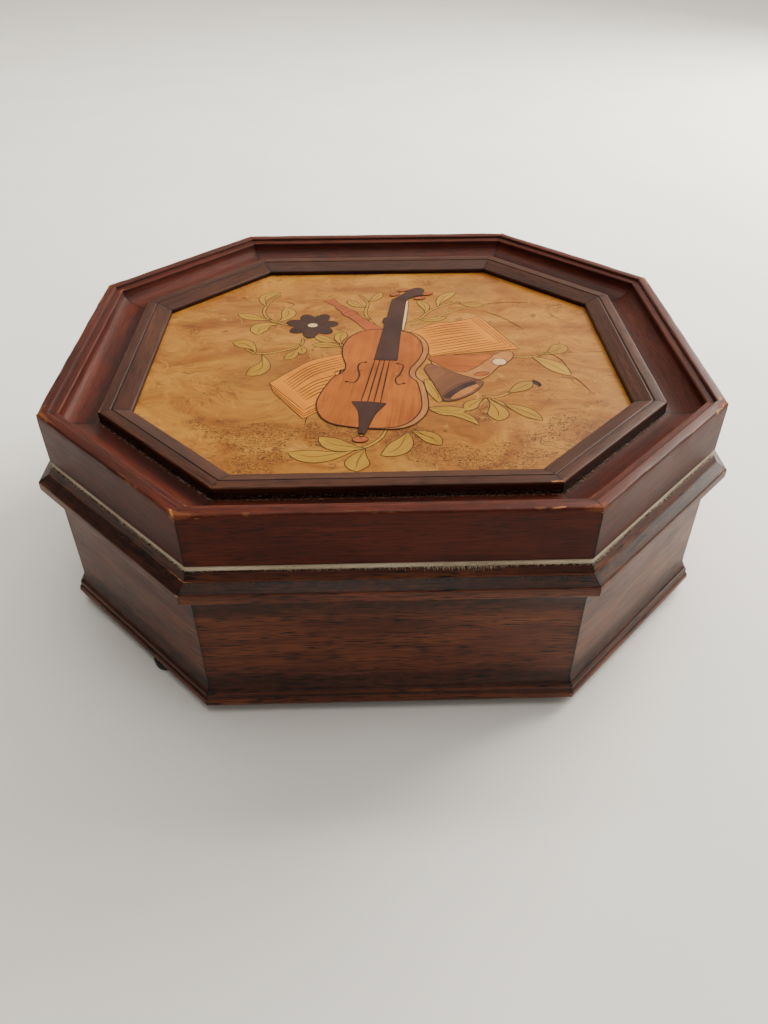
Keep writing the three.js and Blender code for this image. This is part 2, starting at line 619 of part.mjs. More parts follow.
// ---- Governor: frame, wheel, worm and fly ---------------------------------------------------------------
const GOVERNOR_ARBOR = 0.9;
const cheekOutline = [
  [GOVERNOR_Y - 4, BED_TOP + GAP], [FLY_Y + 3.5, BED_TOP + GAP], [FLY_Y + 3.5, 43],
  [FLY_Y - 3.5, 43], [GOVERNOR_Y - 4, GOVERNOR_Z + 4],
];
const governorHole = ring(GOVERNOR_Y, GOVERNOR_Z, GOVERNOR_ARBOR + 0.15, 12);
const CHEEK_LEFT = FLY_X - 3.6;
const CHEEK_RIGHT = FLY_X + 2.4;
const CHEEK_THICK = 1.2;
add(
  "governor_frame",
  cut(
    join(
      plateX(cheekOutline, CHEEK_LEFT, CHEEK_LEFT + CHEEK_THICK, [governorHole]),
      plateX(cheekOutline, CHEEK_RIGHT, CHEEK_RIGHT + CHEEK_THICK, [governorHole]),
      box(CHEEK_LEFT, CHEEK_RIGHT + CHEEK_THICK, FLY_Y - 3.5, FLY_Y + 3.5, 41.5, 43.2),
      box(CHEEK_LEFT, CHEEK_RIGHT + CHEEK_THICK, FLY_Y - 2, FLY_Y + 3.5, BED_TOP + GAP, BED_TOP + 1.4),
    ),
    rodZ(GOVERNOR_ARBOR + 0.15, 40, 45, FLY_X, FLY_Y, 12),
  ),
  brassCast,
);
const GOVERNOR_PINION_RADIUS = (GOVERNOR_PINION_TEETH * GEAR_MODULE) / 2;
const governorPinion = gearOutline(
  GOVERNOR_PINION_TEETH,
  [GOVERNOR_PINION_RADIUS - 0.6, 0.4],
  [GOVERNOR_PINION_RADIUS + 0.3, 0.18],
  towardsGovernor + Math.PI + Math.PI / GOVERNOR_PINION_TEETH, // a gap faces the gear's tooth
  GOVERNOR_Y,
  GOVERNOR_Z,
);
const wormWheelRoot = [WORM_WHEEL_RADIUS - 0.5, 0.35];
const wormWheelTip = [WORM_WHEEL_RADIUS + 0.35, 0.2];
const wormWheel = gearOutline(WORM_WHEEL_TEETH, wormWheelRoot, wormWheelTip, 0, GOVERNOR_Y, GOVERNOR_Z);
add(
  "governor_wheel",
  join(
    rodX(GOVERNOR_ARBOR, CYLINDER_GEAR_X - 1, CHEEK_RIGHT + CHEEK_THICK + 0.4, GOVERNOR_Y, GOVERNOR_Z, 12),
    plateX(governorPinion, CYLINDER_GEAR_X - 0.2, CYLINDER_GEAR_X + SPUR_THICK + 0.2),
    plateX(wormWheel, FLY_X - 0.7, FLY_X + 0.7),
  ),
  brass,
);

// The worm's thread is one start, right handed: a trapezoid swept up a helix about the fly's shaft. At the
// side that faces the wheel its groove is level with the wheel's axis.
function wormThread(zLow, turns, segments) {
  const rows = Math.round(turns * segments);
  const section = [[1.0, -0.3], [1.95, -0.16], [1.95, 0.16], [1.0, 0.3]];
  const positions = [];
  for (let k = 0; k <= rows; k++) {
    const angle = -Math.PI / 2 + (2 * Math.PI * k) / segments;
    const z = zLow + (WORM_LEAD * k) / segments;
    for (const [radius, dz] of section)
      positions.push(radius * Math.cos(angle), radius * Math.sin(angle), z + dz);
  }
  const triangles = [0, 1, 2, 0, 2, 3];
  for (let k = 0; k < rows; k++)
    for (let s = 0; s < 4; s++) {
      const a = 4 * k + s;
      const b = 4 * k + ((s + 1) % 4);
      triangles.push(a, a + 4, b, b, a + 4, b + 4);
    }
  const last = 4 * rows;
  triangles.push(last, last + 2, last + 1, last, last + 3, last + 2);
  return new THREE.BufferGeometry()
    .setAttribute("position", new THREE.BufferAttribute(new Float32Array(positions), 3))
    .setIndex(triangles)
    .translate(FLY_X, FLY_Y, 0);
}
const WORM_TURNS = 5;
const VANE_Z = 45.4;
const VANE_HEIGHT = 5;
add(
  "fly_worm",
  join(
    turnedZ(
      [
        [0, BED_TOP + 1.6], [0.7, BED_TOP + 1.6], [0.9, BED_TOP + 2.4], [0.9, 29], [1.3, 29.3],
        [1.3, 37.8], [0.9, 38.1], [0.9, 51.2], [0, 51.6],
      ],
      FLY_X,
      FLY_Y,
      12,
    ),
    wormThread(GOVERNOR_Z - WORM_LEAD * (WORM_TURNS / 2), WORM_TURNS, 12),
  ),
  steel,
);
const VANE_HALF_THICK = 0.35;
add(
  "fly_vane",
  cut(
    join(
      rodZ(1.9, VANE_Z, VANE_Z + VANE_HEIGHT, FLY_X, FLY_Y, 12),
      box(
        FLY_X - VANE_RADIUS, FLY_X + VANE_RADIUS, FLY_Y - VANE_HALF_THICK, FLY_Y + VANE_HALF_THICK,
        VANE_Z, VANE_Z + VANE_HEIGHT,
      ),
    ),
    rodZ(1.0, VANE_Z - 1, VANE_Z + VANE_HEIGHT + 1, FLY_X, FLY_Y, 12),
  ),
  brass,
);

// ---- Start-stop rod -------------------------------------------------------------------------------------
// The closed lid holds it down, with its finger level with the top of the fly; it rises as the lid opens.
const STOP_TOP = Z_LID + LID_LINING_Z - 0.4;
const FINGER_Z = VANE_Z + VANE_HEIGHT - 1.8;
const FINGER_THICK = 1.8;
const FINGER_REACH = Math.hypot(STOP_X - FLY_X, STOP_Y - FLY_Y) - VANE_RADIUS - 0.6;
add(
  "stop_rod",
  join(
    turnedZ(
      [
        [0, BEDPLATE_Z], [STOP_RADIUS, BEDPLATE_Z], [STOP_RADIUS, STOP_TOP - 2.5], [2.6, STOP_TOP - 2.2],
        [2.6, STOP_TOP - 0.5], [2.0, STOP_TOP], [0, STOP_TOP],
      ],
      STOP_X,
      STOP_Y,
      12,
    ),
    box(0, FINGER_REACH, -0.6, 0.6, FINGER_Z, FINGER_Z + FINGER_THICK)
      .rotateZ(Math.atan2(FLY_Y - STOP_Y, FLY_X - STOP_X))
      .translate(STOP_X, STOP_Y, 0),
  ),
  steel,
);

export default root;
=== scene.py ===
"""Looks for the octagonal cylinder music box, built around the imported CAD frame. Metres, +Z up."""

import math
import random
import bpy
import numpy as np
from mathutils import Matrix, Vector, noise


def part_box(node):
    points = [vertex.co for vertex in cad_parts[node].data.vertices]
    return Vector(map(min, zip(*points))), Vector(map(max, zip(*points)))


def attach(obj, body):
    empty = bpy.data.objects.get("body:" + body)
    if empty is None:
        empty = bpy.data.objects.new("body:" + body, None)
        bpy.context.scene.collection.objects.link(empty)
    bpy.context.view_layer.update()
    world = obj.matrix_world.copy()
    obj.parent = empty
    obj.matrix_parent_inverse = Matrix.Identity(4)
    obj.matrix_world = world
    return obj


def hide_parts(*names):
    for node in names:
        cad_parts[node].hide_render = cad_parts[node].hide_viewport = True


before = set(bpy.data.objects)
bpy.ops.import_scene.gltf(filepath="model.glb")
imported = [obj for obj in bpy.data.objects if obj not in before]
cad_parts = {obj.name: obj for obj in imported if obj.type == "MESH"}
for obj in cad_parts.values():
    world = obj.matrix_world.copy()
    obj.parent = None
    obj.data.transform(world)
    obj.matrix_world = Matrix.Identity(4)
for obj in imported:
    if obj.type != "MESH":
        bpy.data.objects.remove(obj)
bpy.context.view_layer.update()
MM = 0.001

# ---- Sizes taken from the frame, in millimetres
MITRE_GAP = 0.04


def low(node):
    """Lowest corner of a CAD node, in millimetres."""
    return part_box(node)[0] / MM


def high(node):
    """Highest corner of a CAD node, in millimetres."""
    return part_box(node)[1] / MM


HALF_WIDTH = high("lid_frame_right").x
HALF_DEPTH = -low("lid_frame_front").y
CORNER_CUT = HALF_WIDTH - high("lid_frame_front").x - MITRE_GAP
Z_CASE = low("case_wall_front").z
Z_RIM = high("case_wall_front").z
Z_LID = low("lid_frame_front").z
LID_HEIGHT = high("lid_frame_front").z - Z_LID
Z_PANEL = high("marquetry_panel").z
SIDES = ("front", "front_right", "right", "back_right", "back", "back_left", "left", "front_left")
MITRE = math.tan(math.pi / 8)


def octagon(inset):
    """Corners of the octagon at an inset from the lid's outer face, from the front's left end."""
    w, d = HALF_WIDTH - inset, HALF_DEPTH - inset
    a = HALF_WIDTH - CORNER_CUT - inset * MITRE
    b = HALF_DEPTH - CORNER_CUT - inset * MITRE
    return [(-a, -d), (a, -d), (w, -b), (w, b), (a, d), (-a, d), (-w, b), (-w, -b)]


# ---- Mesh helpers
def new_object(name, verts, faces, material, smooth=True, sharp=40):
    """A mesh object from points in millimetres."""
    mesh = bpy.data.meshes.new(name)
    mesh.from_pydata([tuple(c * MM for c in v) for v in verts], [], faces)
    mesh.update()
    if smooth:
        mesh.shade_smooth()
        mesh.set_sharp_from_angle(angle=math.radians(sharp))
    mesh.materials.append(material)
    obj = bpy.data.objects.new(name, mesh)
    bpy.context.scene.collection.objects.link(obj)
    return obj


def set_attribute(obj, name, values, kind="FLOAT"):
    layer = obj.data.attributes.new(name, kind, "POINT")
    field = "vector" if kind == "FLOAT_VECTOR" else "value"
    layer.data.foreach_set(field, np.array(values, np.float32).ravel())


def place(obj, body, slot, *replaced):
    """Rides the piece on a body and hides the CAD nodes that it stands for. The slot argument is not used."""
    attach(obj, body)
    if replaced:
        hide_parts(*replaced)
    return obj


def capped_rings(bands, count):
    """Faces that join rings of `count` points, a band between each two, with a cap at both ends."""
    faces = []
    for ring in range(0, bands * count, count):
        for k in range(count):
            after = (k + 1) % count
            faces.append((ring + k, ring + after, ring + count + after, ring + count + k))
    return [*faces, tuple(reversed(range(count))), tuple(range(bands * count, (bands + 1) * count))]


class Parts:
    """Gathers small like pieces into one mesh."""

    def __init__(self):
        self.verts, self.faces = [], []

    def add(self, verts, faces):
        base = len(self.verts)
        self.verts += verts
        self.faces += [tuple(base + index for index in face) for face in faces]

    def build(self, name, material, body, slot, *replaced, sharp=35):
        return place(new_object(name, self.verts, self.faces, material, sharp=sharp), body, slot, *replaced)


def arc(cx, cy, rx, ry, start, end, steps):
    angles = [math.radians(start + (end - start) * k / steps) for k in range(steps + 1)]
    return [(cx + rx * math.cos(a), cy + ry * math.sin(a)) for a in angles]


# ---- Material helpers
class Shader:
    """Builds one node material. Its methods return sockets, and take sockets or plain values."""

    def __init__(self, name, roughness=0.5, metallic=0.0, **inputs):
        self.material = bpy.data.materials.new(name)
        self.material.use_nodes = True
        self.tree = self.material.node_tree
        self.surface = self.tree.nodes["Principled BSDF"]
        self.set(Roughness=roughness, Metallic=metallic, **inputs)

    def set(self, **inputs):
        for key, value in inputs.items():
            self._put(self.surface, key.replace("_", " "), value)

    def _put(self, node, key, value):
        socket = node.inputs[key]
        if isinstance(value, bpy.types.NodeSocket):
            self.tree.links.new(value, socket)
        elif value is not None:
            socket.default_value = value

    def node(self, kind, inputs=(), out=0, **settings):
        made = self.tree.nodes.new("ShaderNode" + kind)
        for key, value in settings.items():
            setattr(made, key, value)
        for key, value in dict(inputs).items():
            self._put(made, key, value)
        return made.outputs[out]

    def attribute(self, name, out="Fac"):
        return self.node("Attribute", out=out, attribute_name=name)

    def object_mm(self):
        return self.scaled(self.node("TexCoord", out="Object"), (1000, 1000, 1000))

    def scaled(self, vector, factors):
        return self.node("VectorMath", {0: vector, 1: factors}, operation="MULTIPLY")

    def added(self, vector, other):
        return self.node("VectorMath", {0: vector, 1: other}, operation="ADD")

    def noise(self, vector, scale, detail, roughness=0.55, distortion=0.0, out="Fac"):
        inputs = {"Vector": vector, "Scale": scale, "Detail": detail, "Roughness": roughness}
        return self.node("TexNoise", {**inputs, "Distortion": distortion}, out=out)

    def stretched(self, vector, factors, detail, roughness=0.55, distortion=0.0):
        """Noise that is finer along the axes with the larger factors."""
        return self.noise(self.scaled(vector, factors), 1, detail, roughness, distortion)

    def math(self, operation, a, b=0.5, clamp=False):
        return self.node("Math", {0: a, 1: b}, operation=operation, use_clamp=clamp)

    def total(self, a, b):
        return self.math("ADD", a, b)

    def product(self, a, b):
        return self.math("MULTIPLY", a, b)

    def band(self, value, start, end, low_value=0.0, high_value=1.0):
        """Value mapped smoothly from start..end to low_value..high_value, and held outside that."""
        inputs = {"From Min": start, "From Max": end, "To Min": low_value, "To Max": high_value}
        return self.node("MapRange", {"Value": value, **inputs}, interpolation_type="SMOOTHSTEP")

    def ramp(self, value, *stops):
        made = self.tree.nodes.new("ShaderNodeValToRGB")
        self.tree.links.new(value, made.inputs[0])
        elements = made.color_ramp.elements
        while len(elements) < len(stops):
            elements.new(0.5)
        for element, (position, color) in zip(elements, stops):
            element.position = position
            element.color = (*color, 1)
        return made.outputs[0]

    def mix(self, factor, a, b, blend="MIX"):
        made = self.tree.nodes.new("ShaderNodeMix")
        made.data_type = "RGBA"
        made.blend_type = blend
        for index, value in ((0, factor), (6, a), (7, b)):
            if isinstance(value, bpy.types.NodeSocket):
                self.tree.links.new(value, made.inputs[index])
            else:
                made.inputs[index].default_value = (*value, 1) if index else value
        return made.outputs[2]

    def tinted(self, color, tint, value, start, end, most):
        """The colour with up to `most` of the tint over it, as the value goes from start to end."""
        return self.mix(self.band(value, start, end, 0, most), color, tint)

    def bump(self, *layers):
        """Chains bump nodes from (height, distance in millimetres, strength)."""
        normal = None
        for height, distance, strength in layers:
            inputs = {"Height": height, "Distance": distance * MM, "Strength": strength}
            normal = self.node("Bump", {**inputs, "Normal": normal})
        self.set(Normal=normal)


# ---- Wood
def mahogany(name, dark, middle, light, pores, haze, specular):
    """Lacquered mahogany. The grain attribute holds millimetres along and across the stave."""
    s = Shader(name, Specular_IOR_Level=specular)
    grain = s.attribute("grain", "Vector")
    figure = s.stretched(grain, (0.018, 0.16, 1), 5, 0.6, 0.6)
    streak = s.stretched(grain, (0.03, 1.6, 1), 4, 0.65)
    wood = s.ramp(s.total(s.product(figure, 0.55), s.product(streak, 0.45)),
                  (0.34, dark), (0.5, middle), (0.66, light))
    blotch = s.stretched(grain, (0.03, 0.05, 1), 3)
    wood = s.tinted(wood, dark, blotch, 0.4, 0.7, 0.35)
    pore = s.stretched(grain, (0.15, 2.6, 1), 1, 0.4)
    where = s.stretched(grain, (0.04, 0.25, 1), 2)
    pore = s.product(s.band(pore, 0.53, 0.61), s.band(where, 0.38, 0.58, 0.3, pores))
    wood = s.mix(pore, wood, (0.008, 0.003, 0.002))

    # grime and painted shade: darkens real dirt and the dark glue lines at the mitres, and also paints shade
    # into grooves, coves and under the overhangs
    grime_and_shade = s.attribute("grime_and_shade")
    cloud = s.stretched(grain, (0.25, 0.6, 1), 4)
    wood = s.mix(s.product(grime_and_shade, s.band(cloud, 0.25, 0.7, 0.5, 1.0)), wood, (0.008, 0.004, 0.004))

    wear = s.attribute("wear")
    rub = s.stretched(grain, (0.09, 0.35, 1), 6, 0.7)
    fine = s.stretched(grain, (0.8, 2.5, 1), 3, 0.6)
    worn = s.total(wear, s.product(s.math("SUBTRACT", rub, 0.62), 1.8))
    worn = s.total(worn, s.product(s.math("SUBTRACT", fine, 0.5), 0.5))
    wood = s.tinted(wood, (0.17, 0.048, 0.016), worn, 0.5, 0.9, 0.8)
    # pale chips along the worn arrises: partly real chipped wear, partly painted highlight lines on the
    # moulding edges
    chip_and_highlight = s.stretched(grain, (0.16, 0.5, 1), 3, 0.5)
    chip_and_highlight = s.product(s.band(chip_and_highlight, 0.6, 0.66), s.band(wear, 0.55, 0.75))
    wood = s.mix(chip_and_highlight, wood, (0.42, 0.18, 0.06))

    dust = s.attribute("dust")
    specks = s.stretched(grain, (1.1, 1.6, 1), 4, 0.8)
    dusty = s.product(dust, s.band(specks, 0.5, 0.66))
    wood = s.mix(dusty, wood, (0.22, 0.17, 0.12))
    s.set(Base_Color=wood)

    smear = s.stretched(grain, (0.05, 0.08, 1), 5, 0.6)
    rough = s.band(smear, 0.3, 0.7, haze - 0.02, haze + 0.05)
    rough = s.total(rough, s.band(worn, 0.4, 0.8, 0.0, 0.2))
    s.set(Roughness=s.math("ADD", rough, s.product(dusty, 0.4), clamp=True))
    s.bump((pore, 0.05, -0.5), (streak, 0.01, 0.25), (specks, 0.03, 0.1))
    return s.material


def wear_noise(seed, along, across):
    return noise.noise(Vector((along * 0.11, across * 0.6, seed * 17.3)))


# ---- Staves
FILLET_STEPS = 4
LONGEST_SPAN = 2.2  # of a profile edge before it is divided
PAINT_REACH = (1.2, 6, 3)  # how far wear, grime and painted shade, and dust spread from their corner on a divided edge
STAVE_RINGS = 90
WEAR_REACH = 5  # of the stronger wear at a mitre, along the stave
JOINT_REACH = 0.45  # of the dark glue line at a mitre


def fillet(previous, corner, following, radius):
    """Points that round a profile's corner."""
    p, c, n = Vector(previous), Vector(corner), Vector(following)
    reach = min(radius, (p - c).length * 0.45, (n - c).length * 0.45)
    start = c + (p - c).normalized() * reach
    end = c + (n - c).normalized() * reach
    steps = [k / FILLET_STEPS for k in range(FILLET_STEPS + 1)]
    return [start * (1 - t) ** 2 + c * 2 * t * (1 - t) + end * t * t for t in steps]


def detailed_profile(profile):
    """Rounds and divides a closed profile of (inset, z, radius, wear, grime and painted shade, dust) into
    points of (inset, z, wear, grime and painted shade, dust). What a row leaves off at its end is zero."""
    rounded = []
    count = len(profile)
    for k, row in enumerate(profile):
        inset, z, radius, *paint = (*row, 0, 0, 0, 0)[:6]
        if radius:
            before, after = profile[k - 1][:2], profile[(k + 1) % count][:2]
            rounded += [(*point, *paint) for point in fillet(before, (inset, z), after, radius)]
        else:
            rounded.append((inset, z, *paint))
    points = []
    for k, point in enumerate(rounded):
        a, b = np.array(point), np.array(rounded[(k + 1) % len(rounded)])
        length = np.linalg.norm(b[:2] - a[:2])
        pieces = max(1, math.ceil(length / LONGEST_SPAN))
        for step in range(pieces):
            t = step / pieces
            point = a * (1 - t) + b * t
            if step:
                for field, reach in enumerate(PAINT_REACH, 2):
                    faded = a[field] * (1 - t * length / reach), b[field] * (1 - (1 - t) * length / reach)
                    point[field] = max(*faded, 0)
            points.append(point)
    return points


def stave(name, side, profile, material, body, slot, node, rubbed=0.12):
    """One mitred stave, with its grain, wear, grime and painted shade, and dust stored on its points. Worn
    arrises are rubbed down by up to `rubbed` millimetres."""
    points = detailed_profile(profile)
    count = len(points)
    across = np.concatenate([[0], np.cumsum([np.linalg.norm((points[k + 1] - points[k])[:2])
                                             for k in range(count - 1)])])
    verts, grain, wear, grime_and_shade, dust = [], [], [], [], []
    for step in range(STAVE_RINGS + 1):
        # rings are closer together near the mitres
        t = 0.5 - 0.5 * math.cos(math.pi * step / STAVE_RINGS)
        for k, (inset, z, worn, dirt_and_shade, dusty) in enumerate(points):
            corners = octagon(inset)
            start, end = Vector(corners[side]), Vector(corners[(side + 1) % 8])
            length = (end - start).length
            along = MITRE_GAP + (length - 2 * MITRE_GAP) * t
            at = start + (end - start) * (along / length)
            from_end = min(along, length - along)
            corner = math.exp(-from_end / WEAR_REACH)
            rub = worn * (0.62 + 0.75 * corner)
            outward = Vector((end - start).yx) / length
            outward.y = -outward.y
            loss = rubbed * rub * max(0.0, 0.35 + wear_noise(side, along, across[k]))
            at -= outward * loss
            verts.append((at.x, at.y, z - loss * 0.5 * worn))
            grain.append((along - length / 2 + side * 311.7, across[k], side * 5.37))
            wear.append(rub)
            joint = math.exp(-from_end / JOINT_REACH)
            # the profile's grime and painted shade, with the real dark glue line at each mitre added
            grime_and_shade.append(min(1.0, dirt_and_shade + 0.95 * joint))
            dust.append(dusty)
    obj = new_object(name, verts, capped_rings(STAVE_RINGS, count), material, sharp=32)
    set_attribute(obj, "grain", grain, "FLOAT_VECTOR")
    for key, values in (("wear", wear), ("grime_and_shade", grime_and_shade), ("dust", dust)):
        set_attribute(obj, key, values)
    return place(obj, body, slot, node)


def plain(points, grime_and_shade):
    """Profile points with no rounding or wear."""
    return [(inset, z, 0, 0, grime_and_shade) for inset, z in points]


WALL_INNER = 9
WALL_FACE = -0.3
CASE_HEIGHT = Z_RIM - Z_CASE
# Rows are (inset, z, radius, wear, grime and painted shade, dust). The fifth column is mostly painted shade:
# darker in the base cove, under the ogee's overhang and on the rim under the lid's strip.
case_profile = [
    (-2.2, 0, 0.3, 0.5, 0.1), (-2.95, 0.4, 0.3, 0.85), (-3.2, 1.6, 0.6, 0.5),
    (-2.95, 2.9, 0.4, 0.3), (-2.55, 3.3, 0.15, 0, 0.5), (-2.3, 3.4, 0.05, 0, 1),
    (-2.25, 5.2, 0.15, 0.35, 0.1), (-2.0, 5.5, 0.1, 0.2, 0.3),
    *plain(arc(-2.0, 10.3, 2.0 + WALL_FACE, 4.8, 274, 358, 9), grime_and_shade=0.75),
    (WALL_FACE, 13, 0, 0, 0.15), (WALL_FACE, 17), (WALL_FACE, 37),
    (WALL_FACE, 41.0, 0, 0, 0.7),
    *plain(arc(-4.6, 41.0, 4.6 + WALL_FACE, 7.0, 2, 84, 9), grime_and_shade=0.8),
    (-4.8, 48.15, 0.15, 0.62, 0.1), (-5.05, 48.6, 0.25, 0.4), (-5.1, 50.1, 0.6, 0.1),
    (-5.02, 51.7, 0.25, 0.6), (-4.65, 52.05, 0.3, 0.1, 0.75), (-3.2, 52.87, 0, 0, 0.8),
    (-1.75, 53.7, 0.2, 0, 0.95, 0.2), (-1.45, 53.95, 0.15, 0.8), (-1.2, 54.4, 0.3, 0.1, 0.45),
    (-0.8, 55.1, 0, 0, 0.5), (-0.45, 55.8, 0.3, 0, 0.5), (-0.2, CASE_HEIGHT, 0.1, 0, 0.6),
    (WALL_INNER, CASE_HEIGHT), (WALL_INNER, 0),
]
case_profile = [(inset, z + Z_CASE, *rest) for inset, z, *rest in case_profile]

FRAME_OUTER = 16.8
LID_INNER = 8.6
COVE_TOP = LID_HEIGHT - 2.6
COVE_FOOT = 10.9
SKIRT_TOP = 6.6
# The fifth column is grime and painted shade: darker in the groove of the top moulding, down the cove and at
# its foot, and along the lid's bottom edge.
lid_profile = [
    (0.3, 0, 0.2, 0.1, 0.2), (0, 0.4, 0.25, 0.15, 0.1), (0, LID_HEIGHT, 0.9, 0.95),
    (3.3, LID_HEIGHT - 0.02, 0.25, 0.3), (3.75, LID_HEIGHT - 0.4, 0.1, 0, 0.3),
    (3.85, LID_HEIGHT - 1.05, 0.1, 0, 0.9, 0.2), (4.3, LID_HEIGHT - 1.1, 0.15, 0.2, 0.2),
    (5.85, LID_HEIGHT - 1.3, 0.25, 0.62), (6.25, LID_HEIGHT - 1.7, 0.2, 0.1, 0.1),
    (6.35, LID_HEIGHT - 2.3, 0.1, 0, 0.8),
    *plain(arc(FRAME_OUTER, COVE_TOP, FRAME_OUTER - 6.5, COVE_TOP - COVE_FOOT, 182, 240, 10), grime_and_shade=0.12),
    *plain(arc(FRAME_OUTER, COVE_TOP, FRAME_OUTER - 6.5, COVE_TOP - COVE_FOOT, 246, 262, 4), grime_and_shade=0.45),
    (FRAME_OUTER - 0.5, COVE_FOOT + 0.05, 0, 0, 0.6, 1.0), (FRAME_OUTER, COVE_FOOT, 0, 0, 1.0, 1.0),
    (FRAME_OUTER, SKIRT_TOP), (LID_INNER, SKIRT_TOP), (LID_INNER, 0, 0.3, 0, 0.2),
]
lid_profile = [(inset, z + Z_LID, *rest) for inset, z, *rest in lid_profile]

PANEL_INSET = 18.5
FRAME_INNER = 26.8
PANEL_REL = Z_PANEL - Z_LID
# The fifth column is grime and painted shade: darker at the panel's edge under the moulding, in its groove
# and on its hidden underside.
panel_frame_profile = [
    (FRAME_OUTER + 0.1, 7.0, 0, 0, 1), (PANEL_INSET - 0.1, 7.0),
    (PANEL_INSET - 0.1, PANEL_REL + 0.1), (FRAME_INNER, PANEL_REL + 0.1, 0, 0, 1),
    (FRAME_INNER, 12.35, 0.15, 0.1, 0.5), (26.4, 12.75, 0.2, 0.25, 0.1),
    (21.35, 14.55, 0.2, 0.3), (21.15, 14.35, 0.05, 0, 1), (20.75, 14.4, 0.05, 0.1, 0.6),
    (20.5, 14.72, 0.15, 0.55), (17.2, 14.78, 0.35, 0.68), (16.92, 14.3, 0.2, 0.3, 0.1),
    (FRAME_OUTER + 0.1, 12.8, 0, 0, 0.55, 0.1), (FRAME_OUTER + 0.1, 11.4, 0, 0, 1.0, 0.9),
]
panel_frame_profile = [(inset, z + Z_LID, *rest) for inset, z, *rest in panel_frame_profile]


def make_woodwork():
    case_wood = mahogany("mahogany_case", (0.045, 0.009, 0.004), (0.115, 0.028, 0.011), (0.19, 0.058, 0.02),
                         pores=1.0, haze=0.38, specular=0.22)
    lid_wood = mahogany("mahogany_lid", (0.031, 0.0048, 0.002), (0.074, 0.0101, 0.0037),
                        (0.112, 0.0196, 0.0068), pores=0.6, haze=0.42, specular=0.14)
    frame_wood = mahogany("mahogany_panel_frame", (0.026, 0.008, 0.0045), (0.058, 0.018, 0.009),
                          (0.095, 0.031, 0.015), pores=0.6, haze=0.4, specular=0.14)
    for side, name in enumerate(SIDES):
        stave(f"case_stave_{name}", side, case_profile, case_wood, "case", "mahogany", f"case_wall_{name}")
        stave(f"lid_rail_{name}", side, lid_profile, lid_wood, "lid", "mahogany", f"lid_frame_{name}",
              rubbed=0.3)
        stave(f"panel_moulding_{name}", side, panel_frame_profile, frame_wood, "lid", "panel_frame",
              f"panel_frame_{name}", rubbed=0.2)


# ---- Marquetry
INK_WIDTH = 0.6
VENEER_STEP = 0.03  # each layer of the design lies this far above the one before
DESIGN_PLACE = Vector((0, 1))
SPLINE_STEPS = 7
OVAL_STEPS = 36
LINE_TAPER = 0.5  # share of its width that a line loses at its ends


def spline(a, b, c, d):
    """Points of a smooth line from b up to c, without c."""
    return [0.5 * (2 * b + (c - a) * t + (2 * a - 5 * b + 4 * c - d) * t ** 2
                   + (3 * b - a - 3 * c + d) * t ** 3)
            for t in (k / SPLINE_STEPS for k in range(SPLINE_STEPS))]


def curve(points):
    """A smooth line through the points."""
    knots = [Vector(p) for p in points]
    knots = [2 * knots[0] - knots[1], *knots, 2 * knots[-1] - knots[-2]]
    smooth = []
    for group in zip(knots, knots[1:], knots[2:], knots[3:]):
        smooth += spline(*group)
    return [*smooth, knots[-2]]


def loop(points):
    """A smooth closed outline through the points."""
    knots = [Vector(p) for p in points]
    smooth = []
    for k in range(len(knots)):
        smooth += spline(*(knots[(k + j) % len(knots)] for j in (-1, 0, 1, 2)))
    return smooth


def joined(*edges):
    """A closed outline of smooth edges that meet at sharp corners. Each runs to where the next starts."""
    outline = []
    for k, edge in enumerate(edges):
        outline += curve([*edge, edges[(k + 1) % len(edges)][0]])[:-1]
    return outline


def oval(centre, half_length, half_width, angle=0.0):
    turn = Matrix.Rotation(math.radians(angle), 2)
    angles = [2 * math.pi * k / OVAL_STEPS for k in range(OVAL_STEPS)]
    return [Vector(centre) + turn @ Vector((half_length * math.cos(a), half_width * math.sin(a)))
            for a in angles]


def leaf(base, tip, width, bend=0.0, blunt=1.0):
    """Outline of a leaf from its stem to its tip. Bend is sideways, as a share of its length, and a
    blunt leaf is widest near its tip."""
    base, tip = Vector(base), Vector(tip)
    axis = tip - base
    side = Vector((-axis.y, axis.x))
    sides = {1: [], -1: []}
    for k in range(17):
        t = k / 16
        middle = base + axis * t + side * bend * 4 * t * (1 - t)
        half = width / 2 * math.sin(math.pi * t ** blunt) ** 0.8 if 0 < k < 16 else 0.0
        across = (side - axis * bend * 4 * (1 - 2 * t)).normalized()
        for sign, points in sides.items():
            points.append(middle + across * half * sign)
    return sides[1] + sides[-1][-2:0:-1]


def ribbon(points, width):
    """Outline of a drawn line that thins towards its ends."""
    left, right = [], []
    last = len(points) - 1
    for k, point in enumerate(points):
        along = (points[min(k + 1, last)] - points[max(k - 1, 0)]).normalized()
        half = width / 2 * (1 - LINE_TAPER * abs(2 * k / last - 1) ** 3)
        across = Vector((-along.y, along.x)) * half
        left.append(point + across)
        right.append(point - across)
    return left + right[::-1]


def grown(outline, amount):
    """An anticlockwise outline pushed outwards by an amount."""
    pushed = []
    for k, point in enumerate(outline):
        before = (point - outline[k - 1]).normalized()
        after = (outline[(k + 1) % len(outline)] - point).normalized()
        along = (before + after).normalized()
        pushed.append(point + Vector((along.y, -along.x)) * amount)
    return pushed


